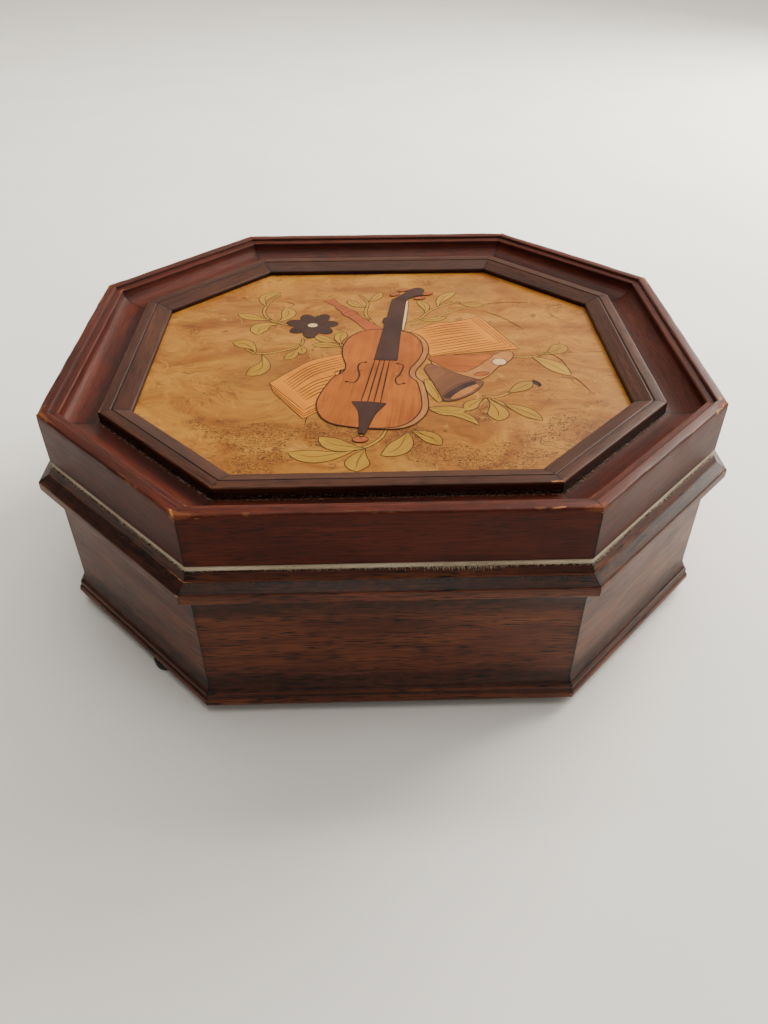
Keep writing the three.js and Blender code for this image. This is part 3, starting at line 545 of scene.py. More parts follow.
class Design:
    """Flat pieces of veneer, gathered by wood, each layer over the one before."""

    def __init__(self):
        self.woods = {}

    def piece(self, wood, outline, layer, angle=0.0, inked=True, ink=INK_WIDTH):
        outline = [Vector(p) for p in outline]
        if sum(outline[k - 1].cross(outline[k]) for k in range(len(outline))) < 0:
            outline.reverse()
        if inked:
            self.piece("ink", grown(outline, ink / 2), layer - 0.15, inked=False)
        self.woods.setdefault(wood, []).append((outline, layer, angle))

    def line(self, points, layer, width=INK_WIDTH, wood="ink", inked=False):
        self.piece(wood, ribbon(curve(points), width), layer, inked=inked)

    def build(self, materials):
        for wood, pieces in self.woods.items():
            verts, faces, grain = [], [], []
            for number, (outline, layer, angle) in enumerate(pieces):
                faces.append(tuple(range(len(verts), len(verts) + len(outline))))
                turn = Matrix.Rotation(math.radians(-angle), 2)
                for point in outline:
                    verts.append((*(point + DESIGN_PLACE), Z_PANEL + VENEER_STEP * (layer + 1)))
                    grain.append((*(turn @ point), number * 3.7))
            obj = new_object(f"inlay_{wood}", verts, faces, materials[wood], smooth=False)
            set_attribute(obj, "grain", grain, "FLOAT_VECTOR")
            place(obj, "lid", "marquetry")


def burl():
    """Lacquered burl veneer: cloudy, with swirling figure, pips and pale streaks."""
    s = Shader("burl_veneer", Specular_IOR_Level=0.15)
    at = s.object_mm()
    warp = s.noise(at, 0.032, 3, 0.5, out="Color")
    swirl = s.added(at, s.scaled(warp, (34, 24, 0)))
    flow = s.stretched(swirl, (0.03, 0.055, 0.05), 7, 0.66, 0.9)
    wood = s.ramp(flow, (0.32, (0.17, 0.05, 0.006)), (0.47, (0.27, 0.1, 0.012)), (0.56, (0.33, 0.14, 0.018)),
                  (0.7, (0.43, 0.2, 0.034)))
    cloud = s.noise(at, 0.02, 4, 0.6)
    wood = s.tinted(wood, (0.19, 0.085, 0.014), cloud, 0.52, 0.7, 0.6)
    wood = s.tinted(wood, (0.4, 0.17, 0.024), cloud, 0.46, 0.3, 0.5)
    fine = s.stretched(swirl, (0.16, 0.6, 0.2), 6, 0.7, 0.5)
    wood = s.tinted(wood, (0.13, 0.036, 0.005), fine, 0.5, 0.68, 0.5)
    pale = s.stretched(swirl, (0.3, 0.12, 0.2), 4, 0.7, 0.8)
    wood = s.tinted(wood, (0.5, 0.26, 0.05), pale, 0.58, 0.72, 0.45)

    # contour lines of a second swirl are the thin dark rings of the figure
    rings = s.stretched(swirl, (0.035, 0.05, 1), 2, 0.5, 1.2)
    edge = s.math("ABSOLUTE", s.math("SINE", s.product(rings, 62.0)))
    where = s.noise(at, 0.028, 2)
    right = s.band(s.node("SeparateXYZ", {"Vector": at}, out="X"), 25, 60, 0, 0.13)
    edge = s.product(s.band(edge, 0.3, 0.05), s.band(s.total(where, right), 0.5, 0.6))
    wood = s.mix(s.product(edge, 0.75), wood, (0.13, 0.045, 0.008))

    # pips: short squiggles in patches, mostly towards the front
    front = s.band(s.node("SeparateXYZ", {"Vector": at}, out="Y"), -25, -62)
    patch = s.noise(s.added(at, (31, 4, 0)), 0.055, 3, 0.6)
    patch = s.band(s.total(patch, s.product(front, 0.16)), 0.6, 0.68)
    squiggle = s.stretched(at, (0.42, 0.6, 1), 2, 0.5, 2.2)
    squiggle = s.band(s.math("ABSOLUTE", s.math("SUBTRACT", squiggle, 0.5)), 0.06, 0.02)
    pips = s.product(patch, squiggle)
    wood = s.mix(pips, wood, (0.075, 0.022, 0.004))
    eyes = s.node("TexVoronoi", {"Vector": swirl, "Scale": 0.055, "Randomness": 1.0}, out="Distance")
    wood = s.tinted(wood, (0.09, 0.025, 0.006), eyes, 0.06, 0.02, 0.8)
    s.set(Base_Color=wood)
    smear = s.noise(at, 0.03, 4, 0.6)
    s.set(Roughness=s.band(smear, 0.35, 0.65, 0.36, 0.5))
    s.bump((fine, 0.03, 0.25), (pips, 0.03, -0.3), (s.noise(at, 0.05, 2), 0.4, 0.25))
    return s.material


def veneer(name, dark, light, scale=1.0, stipple=0.0):
    """Lacquered inlay wood, with its figure along the piece's grain attribute."""
    s = Shader(name, Specular_IOR_Level=0.15)
    grain = s.attribute("grain", "Vector")
    figure = s.stretched(grain, (0.9 * scale, 0.06 * scale, 1), 5, 0.6, 0.2)
    cloud = s.stretched(grain, (0.07, 0.05, 1), 3)
    wood = s.ramp(s.total(s.product(figure, 0.5), s.product(cloud, 0.5)),
                  (0.36, dark), (0.62, light))
    specks = s.stretched(grain, (1.7, 1.4, 1), 2)
    wood = s.tinted(wood, (0.1, 0.035, 0.015), specks, 0.6, 0.7, stipple)
    s.set(Base_Color=wood, Roughness=s.band(figure, 0.35, 0.65, 0.37, 0.5))
    s.bump((figure, 0.02, 0.3))
    return s.material


def make_panel():
    panel_material = burl()
    panel = bpy.data.objects["marquetry_panel"]
    panel.data.materials.clear()
    panel.data.materials.append(panel_material)
    design = Design()
    for draw in (draw_leaves, draw_flower, draw_flute, draw_left_pages, draw_right_pages, draw_lute,
                 draw_horn, draw_violin):
        draw(design)
    design.build({
        "ink": veneer("inlay_ink_wood", (0.012, 0.004, 0.002), (0.035, 0.011, 0.004)),
        "spruce": veneer("inlay_violin_wood", (0.2, 0.045, 0.0045), (0.37, 0.1, 0.01), 1.2),
        "rib": veneer("inlay_rib_wood", (0.24, 0.085, 0.02), (0.4, 0.16, 0.04), 1.5),
        "dark": veneer("inlay_dark_wood", (0.02, 0.006, 0.004), (0.05, 0.018, 0.012), 1.3),
        "red": veneer("inlay_red_wood", (0.2, 0.04, 0.01), (0.34, 0.085, 0.02), 1.5),
        "paper": veneer("inlay_page_wood", (0.42, 0.13, 0.006), (0.57, 0.2, 0.012), 0.8),
        "leaf": veneer("inlay_leaf_wood", (0.26, 0.125, 0.009), (0.38, 0.2, 0.02), 1.0, stipple=0.25),
        "grey": veneer("inlay_grey_wood", (0.075, 0.025, 0.01), (0.2, 0.075, 0.028), 1.6, stipple=0.5),
        "pale": veneer("inlay_pale_wood", (0.5, 0.3, 0.13), (0.66, 0.44, 0.22)),
    })


def draw_leaves(design):
    # stems first, then (base, tip, width, bend, blunt) for each leaf
    stems = [
        [(-29.6, 13.9), (-30.1, 8.5), (-36.8, 4), (-43, 2.1), (-47.5, 3), (-50.5, 6)],
        [(-35.1, 24.7), (-39.5, 27.2), (-43.9, 30.3), (-46.5, 38), (-44.3, 48), (-41, 52.5)],
        [(-12.4, 2.1), (-14.5, 6), (-15.5, 9.6), (-20, 12.5)],
        [(0.5, -50.3), (-1.3, -54.9), (-5.2, -59.2), (-9.8, -61.3), (-16, -62.5)],
        [(47.6, -3.4), (55.2, -3.7), (60, -0.8)],
        [(34, -30.5), (38.5, -31.4), (43.7, -28.4), (47, -26)],
        [(36.8, -32.2), (41.1, -37), (44, -40)],
        [(10.5, 25.5), (16, 29), (20.5, 36), (27.5, 41.5), (33, 43.5)],
        [(12, 23), (20, 27.5), (27, 33.5), (36, 39.5)],
        [(-2, 24), (-5.5, 34), (-4.6, 44), (-8, 52)],
    ]
    for stem in stems:
        design.line(stem, 0.5, 0.95, "leaf", inked=True)
    leaves = [
        (-46.5, 2.4, -56, 11.2, 6, -0.18, 1.9), (-44.3, 1.6, -48.4, -14, 6.6, 0.22, 1.9),
        (-31.6, 5.2, -35.6, -2.8, 4, 0.1, 1.3), (-30.4, 8.6, -29, 1.4, 3.4, 0, 1.6),
        (-42.5, 29.6, -56.6, 35.6, 4.6, 0.05, 1.7), (-40.5, 27.8, -38.2, 40.8, 5.6, -0.22, 1.5),
        (-39, 25.8, -46.8, 17, 7, -0.35, 1.5), (-45.8, 42, -41, 55.5, 4.4, 0.3, 1.5),
        (-14.5, 6.4, -26, 7.6, 3.8, -0.1, 1.3), (-16.5, 10.4, -25, 16.5, 4, 0.1, 1.2),
        (-14.8, 8, -13.4, 18.2, 4.6, 0.14, 1.7),
        (-6.4, -60.6, -21, -54, 6.2, 0.12, 1.4), (-9.8, -61.6, -30.4, -62.2, 6.4, 0.14, 1.5),
        (-6.2, -60.8, -9, -72.8, 7.4, -0.08, 1.7), (7.2, -52, -1.6, -64.6, 7, 0.16, 1.2),
        (8.4, -51.4, 17.4, -59.8, 5.4, 0.1, 1.3),
        (57.5, -2.6, 68.6, 5.6, 6.2, -0.12, 2.3), (55.2, -3.8, 66.6, -17.8, 6.4, 0.06, 1.25),
        (43, -28.9, 52.4, -21.8, 5, 0, 1.4), (34.6, -32, 27.6, -39.8, 4.6, -0.1, 1.7),
        (35.2, -32, 37.2, -46.2, 6.8, 0.1, 2), (40.6, -36.2, 51.6, -46.4, 5, 0.05, 1.2),
        (15.6, -39.6, 30.6, -48.6, 3.6, 0.16, 1), (15, -37.6, 27.6, -38.8, 5.4, -0.12, 1.1),
        (14.8, -18.6, 18.8, -34.6, 5.6, 0.08, 1),
        (33, 42.8, 42.6, 40.6, 3.6, -0.1, 1.4), (24, 38.8, 32.6, 53, 4.4, 0.14, 1.5),
        (15.5, 28.2, 26.6, 30, 3.4, -0.1, 1.2), (18.5, 34, 15.8, 45, 3.6, -0.15, 1.4),
        (-5, 40, -12.4, 47, 3.6, 0.12, 1.4), (-4.6, 45, 1, 54, 3.4, -0.1, 1.4),
        (-3.4, 29, -9.6, 33.6, 3.2, 0.1, 1.4),
    ]
    for number, (bx, by, tx, ty, width, bend, blunt) in enumerate(leaves):
        angle = math.degrees(math.atan2(tx - bx, by - ty))
        design.piece("leaf", leaf((bx, by), (tx, ty), width, bend, blunt), 1 + 0.02 * number, angle)
        base, tip = Vector((bx, by)), Vector((tx, ty))
        side = Vector((by - ty, tx - bx)) * bend
        design.line([base, base.lerp(tip, 0.55) + side * 0.98, base.lerp(tip, 0.85) + side * 0.5], 1.8, 0.22)
    flourishes = [
        [(67, -18), (69.5, -23), (71.5, -29.5)], [(61.5, 0), (65.8, -7), (67, -16.5)],
        [(52.6, -21.6), (54.6, -22.4), (54, -26)], [(-26, -47), (-25, -41), (-21, -38)],
        [(9, -49.5), (12, -53.5), (15.5, -55.8)], [(41.7, 35.2), (49, 28.5), (55.8, 18.2)],
        [(43.5, 41.4), (52, 42.8), (61.2, 42)], [(-36.9, 40.3), (-34.6, 43.4), (-38, 46)],
    ]
    for points in flourishes:
        design.line(points, 1.9, 0.3)
    design.piece("dark", oval((53.8, -22.6), 2.4, 1.1, -60), 1.9, inked=False)


def draw_flower(design):
    centre = Vector((-26.3, 24.4))
    for petal in range(7):
        angle = 360 / 7 * petal + 8
        out = Vector((math.cos(math.radians(angle)), math.sin(math.radians(angle))))
        reach = 6.3 if petal % 2 else 5.6
        design.piece("dark", oval(centre + out * reach, 4.3, 2.75, angle), 2 + 0.2 * petal, angle)
        design.line([centre + out * 3, centre + out * (reach + 2.4)], 3.5, 0.2)
    design.piece("pale", oval(centre, 1.9, 1.6), 3.9)


def draw_flute(design):
    axis = Vector((-1.2, 18.4)) - Vector((-20.4, 47.4))
    across = Vector((-axis.y, axis.x)).normalized()
    start = Vector((-20.4, 47.4))
    halves = [(0, 2.1), (0.12, 1.3), (0.2, 1.1), (0.24, 1.9), (0.29, 1.9), (0.32, 1.6), (0.4, 2.6),
              (0.5, 2.5), (0.53, 1.9), (1, 3.1)]
    left = [start + axis * t + across * half for t, half in halves]
    right = [start + axis * t - across * half for t, half in halves]
    design.piece("red", left + right[::-1], 2, -56 + 90)
    for t in (0.24, 0.29, 0.4, 0.5):
        half = dict(halves)[t]
        design.line([start + axis * t + across * half, start + axis * t - across * half], 2.2, 0.25)


def staff(design, starts, ends, sag, layer):
    """Five ruled lines, from between two starting points to between two ending points."""
    for k in range(5):
        start = Vector(starts[0]).lerp(Vector(starts[1]), k / 4)
        end = Vector(ends[0]).lerp(Vector(ends[1]), k / 4)
        middle = start.lerp(end, 0.5) + Vector(sag)
        design.line([start, middle, end], layer, 0.42)


def draw_left_pages(design):
    for step, layer in ((4.6, 2), (3.1, 2.4), (1.6, 2.8)):
        design.piece("paper", joined(
            [(-39.3 + step * 0.25, -20.2 - step), (-33, -13 - step)],
            [(-14, -1 - step)],
            [(-18, -32 - step), (-22, -34.2 - step)],
            [(-26.7, -38.4 - step)],
        ), layer, 40)
    design.piece("paper", joined(
        [(-39.5, -19.9), (-32.8, -11.7), (-25, -3.8)],
        [(-12.6, 1.4), (-9.8, -3.5), (-11.4, -8.6)],
        [(-17, -12.4)],
        [(-16, -30), (-22, -33.3)],
        [(-26.7, -37.8)],
    ), 3.2, 40)
    staff(design, ((-34.8, -19.2), (-31.6, -24.4)), ((-14.6, -1.6), (-12.8, -8)), (-1.4, 2.2), 3.6)
    staff(design, ((-29.8, -26.1), (-26.6, -31.6)), ((-16.4, -14.6), (-15.4, -24)), (-0.6, 1.4), 3.6)
    design.line([(-12.6, -5.4), (-11.6, -9), (-14.4, -12), (-17.4, -12.6)], 3.7, 0.35)


def draw_right_pages(design):
    for step, layer in ((4.6, 2), (2.9, 2.4), (1.4, 2.8)):
        design.piece("paper", joined(
            [(30, 24)],
            [(36.1 + step * 0.8, 28.2 + step * 0.35)],
            [(45.2 + step * 1.3, 7.6 - step * 1.05), (30, 2 - step * 0.5)],
            [(18.1, -1.4 - step * 0.4)],
        ), layer, -60)
    design.piece("paper", joined(
        [(12, 17.6), (22, 24.4), (28.5, 25.2)],
        [(36.1, 28.2)],
        [(45, 7.8), (31, 3.4)],
        [(18.1, -1.2)],
    ), 3.2, -60)
    staff(design, ((15.6, 19.6), (17.6, 12.6)), ((34.8, 24.6), (37.6, 17.2)), (0, 0.6), 3.6)
    staff(design, ((18.4, 9.6), (18.6, 1.4)), ((38.2, 15.6), (42, 8.2)), (0.4, 0.2), 3.6)


def draw_lute(design):
    back = [(18.4, -6), (22, -12), (27.3, -17.6), (33, -19.6), (37.2, -17.4), (41.6, -11),
            (47.2, -5.4), (48.4, -0.2), (44.8, 0.4), (40.4, -2.4), (30, -3)]
    belly = [(17.6, -3.4), (24, -1.8), (32, -1.6), (40.6, -1.8), (37.6, -6.4), (33.6, -11),
             (28.6, -14.2), (23.2, -11.4), (19.4, -7)]
    design.piece("rib", loop(back), 4, 30)
    design.piece("spruce", loop(belly), 4.4, 80)
    design.piece("spruce", leaf((32.6, -16.4), (38, -15), 2.6), 4.6, 80)
    design.piece("pale", oval((42.8, -7.2), 2.5, 2.3), 4.6)


def draw_horn(design):
    design.piece("grey", [*curve([(15.2, -11.4), (17.6, -8.2), (26, -14.8), (34.4, -20.4)]),
                          *curve([(34.4, -20.4), (29, -28), (20.4, -33.6)]),
                          *curve([(20.4, -33.6), (18.6, -25), (15.2, -11.4)])], 5, -50)
    bell = (27.6, -26.8)
    design.piece("grey", oval(bell, 9.4, 3.6, 42), 5.5, 40)
    design.piece("dark", oval((26.6, -26.4), 8, 2.1, 42), 6, 40, inked=False)
    design.piece("rib", oval((28.2, -27.8), 6.8, 1.5, 42), 6.3, 40, inked=False)


VIOLIN_TAIL = Vector((-7.3, -49.3))
VIOLIN_TILT = math.radians(-8.2)


def on_violin(points):
    """Points given across and along the violin, from its tail, turned to where it lies."""
    turn = Matrix.Rotation(VIOLIN_TILT, 2)
    return [VIOLIN_TAIL + turn @ Vector(p) for p in points]


def draw_violin(design):
    lower = [(0, 0), (8.9, 1.2), (13.6, 3.9), (16.6, 8.8), (17.8, 14.4), (17, 22),
             (15.4, 29), (14.6, 31.4)]
    waist = [(14.6, 31.4), (12.4, 34), (11.5, 37), (11.8, 40.6), (13, 44)]
    upper = [(13, 44), (14.2, 48), (14.9, 54.6), (13.4, 61.6), (9.8, 66.8), (4.6, 69), (0, 69.4)]
    half = [point for edge in (lower, waist, upper) for point in curve(edge)[:-1]] + [Vector((0, 69.4))]
    body = half + [Vector((-x * 0.97, y)) for x, y in reversed(half[1:-1])]
    rib = [Vector((x + 2.3, y - 0.3)) if x > 2 else Vector((x, y)) for x, y in body]
    design.piece("rib", on_violin(rib), 7, -8, ink=0.9)
    design.piece("spruce", on_violin(body), 8, -8, ink=0.95)
    holes = [[(-4.7, 42.9), (-6.5, 41.9), (-6.9, 38.7), (-5.6, 33), (-6.7, 28.2), (-9.5, 28.4)],
             [(7, 43.2), (9.1, 41.9), (8.7, 36.1), (7.4, 32.1), (8.5, 28.5), (10.6, 29.4)]]
    for hole in holes:
        design.line(on_violin(hole), 9, 0.6)
        middle = Vector(hole[2]).lerp(Vector(hole[3]), 0.4)
        design.line(on_violin([middle - Vector((1.5, 0.4)), middle + Vector((1.5, 0.4))]), 9.3, 0.25)
        for end in (hole[0], hole[-1]):
            design.piece("ink", oval(on_violin([end])[0], 0.65, 0.5), 9.4, inked=False)
    # strings run from the tailpiece under the end of the fingerboard
    for k in range(4):
        t = k / 3
        strand = on_violin([(-2.6 + 6.6 * t, 15), (-1.5 + 5.3 * t, 45.4)])
        design.line(strand, 9.6, 0.5)
    fingerboard = [(-1.8, 45), (6.5, 45.4), (5.4, 68.4), (4.6, 97.2), (-0.9, 97.2), (-0.9, 80.2),
                   (-2.2, 79), (-2.2, 75.6), (-1.2, 74.8), (-1.4, 60)]
    design.piece("dark", on_violin(fingerboard), 10, -8)
    design.line(on_violin([(6.2, 70), (5.9, 84), (5.4, 96)]), 9.8, 1, "pale", inked=True)
    tailpiece = [*curve([(-5.6, 15.4), (0.2, 15.8), (6, 15.4)])[:-1],
                 *curve([(6, 15.4), (3.5, 9.4), (2.2, 3), (1.4, -3.3)]),
                 *curve([(-0.6, -3.3), (-1.3, 3), (-2.6, 9.6), (-5.6, 15.4)])[:-1]]
    design.piece("dark", on_violin(tailpiece), 10, -8)
    design.piece("red", oval(on_violin([(0.3, -6.6)])[0], 2.4, 1.5), 7.5, 0)
    design.line(on_violin([(-1, -3.3), (0.3, -5.4), (1.6, -3.3)]), 10.2, 0.3)
    # pegbox and scroll lean over to the right
    design.piece("dark", [*curve([(6.4, 47), (10.4, 51.6), (14.4, 56.6)])[:-1],
                          *curve([(14.4, 56.6), (17.6, 57.4), (19.2, 54.6), (17.6, 52.2), (18.6, 50.4)])[:-1],
                          *curve([(18.6, 50.4), (14.6, 49.2), (11.4, 46.2)])], 10.5, -40)
    for centre, angle in (((7, 51.6), 30), ((10.6, 55.6), 20), ((20.6, 51.8), 20), ((17, 47.6), 10)):
        design.piece("red", oval(centre, 2.2, 1.1, angle), 9.5, angle)


# ---- Metal, rubber, glass, board and plush
def metal(name, dark, light, roughness, tarnish=0.4, brushed=(0.06, 2.6, 2.6)):
    """Old metal: brushed along one direction, with patches of tarnish and small dark specks."""
    s = Shader(name, metallic=1.0)
    at = s.object_mm()
    brushing = s.stretched(at, brushed, 5, 0.6)
    patch = s.noise(at, 0.11, 5, 0.62, 0.6)
    speck = s.noise(at, 1.5, 4, 0.65)
    color = s.ramp(s.total(s.product(patch, 0.7), s.product(brushing, 0.3)),
                   (0.34, dark), (0.6, light))
    color = s.tinted(color, [c * 0.45 for c in dark], speck, 0.56, 0.72, tarnish)
    s.set(Base_Color=color)
    dull = s.total(s.band(patch, 0.35, 0.65, roughness + 0.14, roughness),
                  s.band(speck, 0.5, 0.7, 0, 0.16))
    s.set(Roughness=dull)
    s.bump((brushing, 0.02, 0.5), (speck, 0.03, 0.3))
    return s.material


def cast_paint():
    """The bedplate: iron cast in sand, under gold paint."""
    s = Shader("gilt_casting", 0.42, 0.75)
    at = s.object_mm()
    sand = s.noise(at, 1.1, 5, 0.7)
    patch = s.noise(at, 0.07, 4, 0.6)
    color = s.ramp(sand, (0.35, (0.3, 0.2, 0.075)), (0.6, (0.52, 0.37, 0.15)))
    color = s.tinted(color, (0.16, 0.1, 0.045), patch, 0.52, 0.7, 0.6)
    s.set(Base_Color=color, Roughness=s.band(sand, 0.3, 0.7, 0.34, 0.58))
    s.bump((sand, 0.25, 0.6))
    return s.material


def rubber():
    s = Shader("rubber_foot", 0.6, Specular_IOR_Level=0.3)
    at = s.object_mm()
    bloom = s.noise(at, 0.5, 5, 0.65)
    grit = s.noise(at, 4, 3, 0.7)
    s.set(Base_Color=s.ramp(bloom, (0.35, (0.008, 0.007, 0.006)), (0.7, (0.03, 0.025, 0.021))))
    s.set(Roughness=s.band(grit, 0.3, 0.7, 0.5, 0.75))
    s.bump((grit, 0.08, 0.5))
    return s.material


def plywood():
    """Birch board seen from inside and below, with the edges of its plies."""
    s = Shader("plywood_board", 0.7, Specular_IOR_Level=0.2)
    at = s.object_mm()
    figure = s.stretched(at, (0.02, 0.16, 0.3), 6, 0.65, 1.2)
    fine = s.stretched(at, (0.2, 3.5, 1.2), 3, 0.6)
    color = s.ramp(figure, (0.34, (0.26, 0.125, 0.045)), (0.52, (0.36, 0.19, 0.075)),
                   (0.7, (0.46, 0.27, 0.12)))
    color = s.tinted(color, (0.2, 0.09, 0.035), fine, 0.55, 0.7, 0.5)
    stain = s.noise(at, 0.03, 4, 0.6)
    color = s.tinted(color, (0.14, 0.065, 0.03), stain, 0.55, 0.72, 0.45)
    s.set(Base_Color=color, Roughness=s.band(fine, 0.3, 0.7, 0.6, 0.82))
    s.bump((fine, 0.06, 0.5))
    return s.material


def glass():
    s = Shader("green_tinted_glass", 0.02, Transmission_Weight=1.0, IOR=1.52)
    at = s.object_mm()
    smear = s.stretched(at, (0.02, 0.05, 0.3), 5, 0.6, 0.8)
    ream = s.noise(at, 0.025, 2, 0.4)
    s.set(Base_Color=s.ramp(smear, (0.3, (0.9, 0.96, 0.93)), (0.7, (0.95, 0.99, 0.97))))
    s.set(Roughness=s.band(smear, 0.55, 0.75, 0.0, 0.07))
    s.bump((ream, 0.1, 0.2))
    return s.material


def plush(name, dark, middle, light):
    """Short velvet pile, brushed in patches."""
    s = Shader(name, 0.95, Sheen_Weight=0.35, Sheen_Roughness=0.4, Specular_IOR_Level=0.1)
    at = s.object_mm()
    nap = s.noise(at, 0.035, 3, 0.5, 0.4)
    pile = s.noise(at, 3.5, 3, 0.75)
    color = s.ramp(nap, (0.35, dark), (0.52, middle), (0.68, light))
    color = s.mix(s.band(pile, 0.42, 0.62, 0.5, 0.0), color, dark)
    s.set(Base_Color=color)
    s.bump((pile, 0.3, 0.8), (nap, 0.5, 0.3))
    return s.material


# ---- Fabric pieces
FIBRE_COUNT = 15000  # drawn; those that would stand on a hinge are left out
FIBRE_WIDTH = 0.09
PAD_ROUNDING = 1.0
PAD_CROWN = 0.35
PAD_SPACING = 4  # between the points of a pad's outline
STRIP_FACE = 0.2  # inset of the strip's outer face from the lid's
HINGE_X = (low("hinge_right_pin").x + high("hinge_right_pin").x) / 2
NOTCH_HALF = (high("hinge_right_pin").x - low("hinge_right_pin").x) / 2 + 0.3


def side_lengths(inset):
    corners = [Vector(c) for c in octagon(inset)]
    return [(corners[(side + 1) % 8] - corners[side]).length for side in range(8)]


def along_octagon(inset, share):
    """The point and outward direction a share of the way round an octagon."""
    corners = [Vector(c) for c in octagon(inset)]
    lengths = side_lengths(inset)
    rest = share % 1 * sum(lengths)
    side = 0
    while rest > lengths[side]:
        rest -= lengths[side]
        side += 1
    along = (corners[(side + 1) % 8] - corners[side]) / lengths[side]
    return corners[side] + along * rest, Vector((along.y, -along.x))


def share_on_back(x):
    """How far round the octagon the back side's point at x is."""
    back = SIDES.index("back")
    lengths = side_lengths(STRIP_FACE)
    return (sum(lengths[:back]) + octagon(STRIP_FACE)[back][0] - x) / sum(lengths)


def make_plush_strip(cloth):
    """The strip under the lid, cut away at the hinges: an uneven band of cloth with pile that stands
    out past the seam."""
    bottom, top = low("lid_felt").z, high("lid_felt").z
    section = ((0.55, 0.06), (0.2, 0.04), (0.02, 0.3), (0, 0.62), (0.1, 0.94), (0.5, 1.0), (8.3, 1.0),
               (8.3, 0.06))
    outer, inner = HINGE_X + NOTCH_HALF, HINGE_X - NOTCH_HALF
    runs = ((share_on_back(-outer), 1 + share_on_back(outer), 680),
            (share_on_back(inner), share_on_back(-inner), 40))
    strip = Parts()
    for first, last, steps in runs:
        verts = []
        for step in range(steps + 1):
            share = first + (last - first) * step / steps
            for inset, height in section:
                at, outward = along_octagon(STRIP_FACE + inset, share)
                wobble = 0.1 * noise.noise(Vector((share * 295, height * 3, 0))) if inset < 1 else 0
                at += outward * wobble
                verts.append((*at, bottom + (top - bottom) * height))
        strip.add(verts, capped_rings(steps, len(section)))
    strip.build("plush_strip", cloth, "lid", "plush", "lid_felt", sharp=80)

    random.seed(41)
    verts, faces = [], []
    for _ in range(FIBRE_COUNT):
        share = random.random()
        root, outward = along_octagon(STRIP_FACE + 0.1, share)
        if root.y > HALF_DEPTH - 1 and abs(abs(root.x) - HINGE_X) < NOTCH_HALF:
            continue
        thick = 0.5 + 2.6 * max(0.0, 0.4 + noise.noise(Vector((share * 23, 0, 7))))
        height = bottom + (top - bottom) * random.uniform(0.05, 0.95)
        start = Vector((*root, height))
        spread = Vector((random.uniform(-0.5, 0.5), random.uniform(-0.5, 0.5), random.uniform(-1.1, 0.2)))
        tip = start + (Vector((*outward, 0)) + spread) * random.uniform(0.2, 0.55) * thick
        out = (tip - start).xy.dot(outward) - 0.3
        tip.z = min(max(tip.z, bottom - 1.5 * max(0.0, out)), top)
        side = Vector((-outward.y, outward.x, random.uniform(-0.6, 0.6))).normalized() * FIBRE_WIDTH / 2
        middle = start.lerp(tip, 0.55) + Vector((0, 0, 0.06))
        base = len(verts)
        verts += [start - side, start + side, middle + side * 0.8, middle - side * 0.8, tip]
        faces += [(base, base + 1, base + 2, base + 3), (base + 3, base + 2, base + 4)]
    place(new_object("plush_strip_pile", verts, faces, cloth, smooth=False), "lid", "plush")


def divided(corners, outer):
    """The outline with its edges divided into as many pieces as the outer outline's edges need."""
    points = []
    for k, corner in enumerate(corners):
        start, end = Vector(corner), Vector(corners[(k + 1) % len(corners)])
        pieces = math.ceil((Vector(outer[(k + 1) % len(outer)]) - Vector(outer[k])).length / PAD_SPACING)
        points += [start.lerp(end, step / pieces) for step in range(pieces)]
    return points


def pad(name, outline, back, face, material, body, node):
    """A padded panel: flat at the back, rounded at its edge and crowned towards the middle."""
    depth = face - back
    rings = [(0, 0)]
    rings += [(PAD_ROUNDING * (1 - math.cos(a)), math.sin(a))
              for a in (math.pi / 2 * k / 6 for k in range(7))]
    rings += [(PAD_ROUNDING + reach, 1) for reach in (1.5, 3.5, 6, 9, 13, 18, 24, 31)]
    verts = []
    for inset, height in rings:
        rise = 1 - PAD_CROWN * math.exp(-inset / 6)
        for point in divided(grown([Vector(c) for c in outline], -inset), outline):
            dimple = 1 + 0.03 * noise.noise(Vector((point.x * 0.08, point.y * 0.08, 3)))
            verts.append((*point, back + depth * min(1.0, height * rise * dimple)))
    faces = capped_rings(len(rings) - 1, len(verts) // len(rings))
    if depth < 0:
        faces = [tuple(reversed(face)) for face in faces]
    obj = place(new_object(name, verts, faces, material), body, "plush", node)


LINING_INSET = 8.7
TRAY_INSET = 10.5


def make_linings(cloth):
    pad("lid_padding", octagon(LINING_INSET), high("lid_lining").z, low("lid_lining").z, cloth, "lid",
        "lid_lining")
    front_left, front_right, right_front, *_ = octagon(TRAY_INSET)
    divider = high("tray_lining").y - 0.05
    outline = [front_left, front_right, right_front, (right_front[0], divider), (-right_front[0], divider),
               (-right_front[0], right_front[1])]
    pad("tray_padding", outline, low("tray_lining").z, high("tray_lining").z, cloth, "case", "tray_lining")


# ---- Turned, cut and pinned metal
def lathe(profile, centre, axis, steps):
    """Points and faces of a turned solid: (radius, along) pairs about an axis through centre."""
    axis = Vector(axis).normalized()
    aside = axis.orthogonal().normalized()
    other = axis.cross(aside)
    verts, faces, count = [], [], len(profile)
    for step in range(steps):
        angle = 2 * math.pi * step / steps
        spoke = aside * math.cos(angle) + other * math.sin(angle)
        verts += [Vector(centre) + axis * along + spoke * radius for radius, along in profile]
        after = (step + 1) % steps
        faces += [(step * count + k, after * count + k, after * count + k + 1, step * count + k + 1)
                  for k in range(count - 1)]
    faces.append(tuple(step * count for step in reversed(range(steps))))
    faces.append(tuple(step * count + count - 1 for step in range(steps)))
    return verts, faces


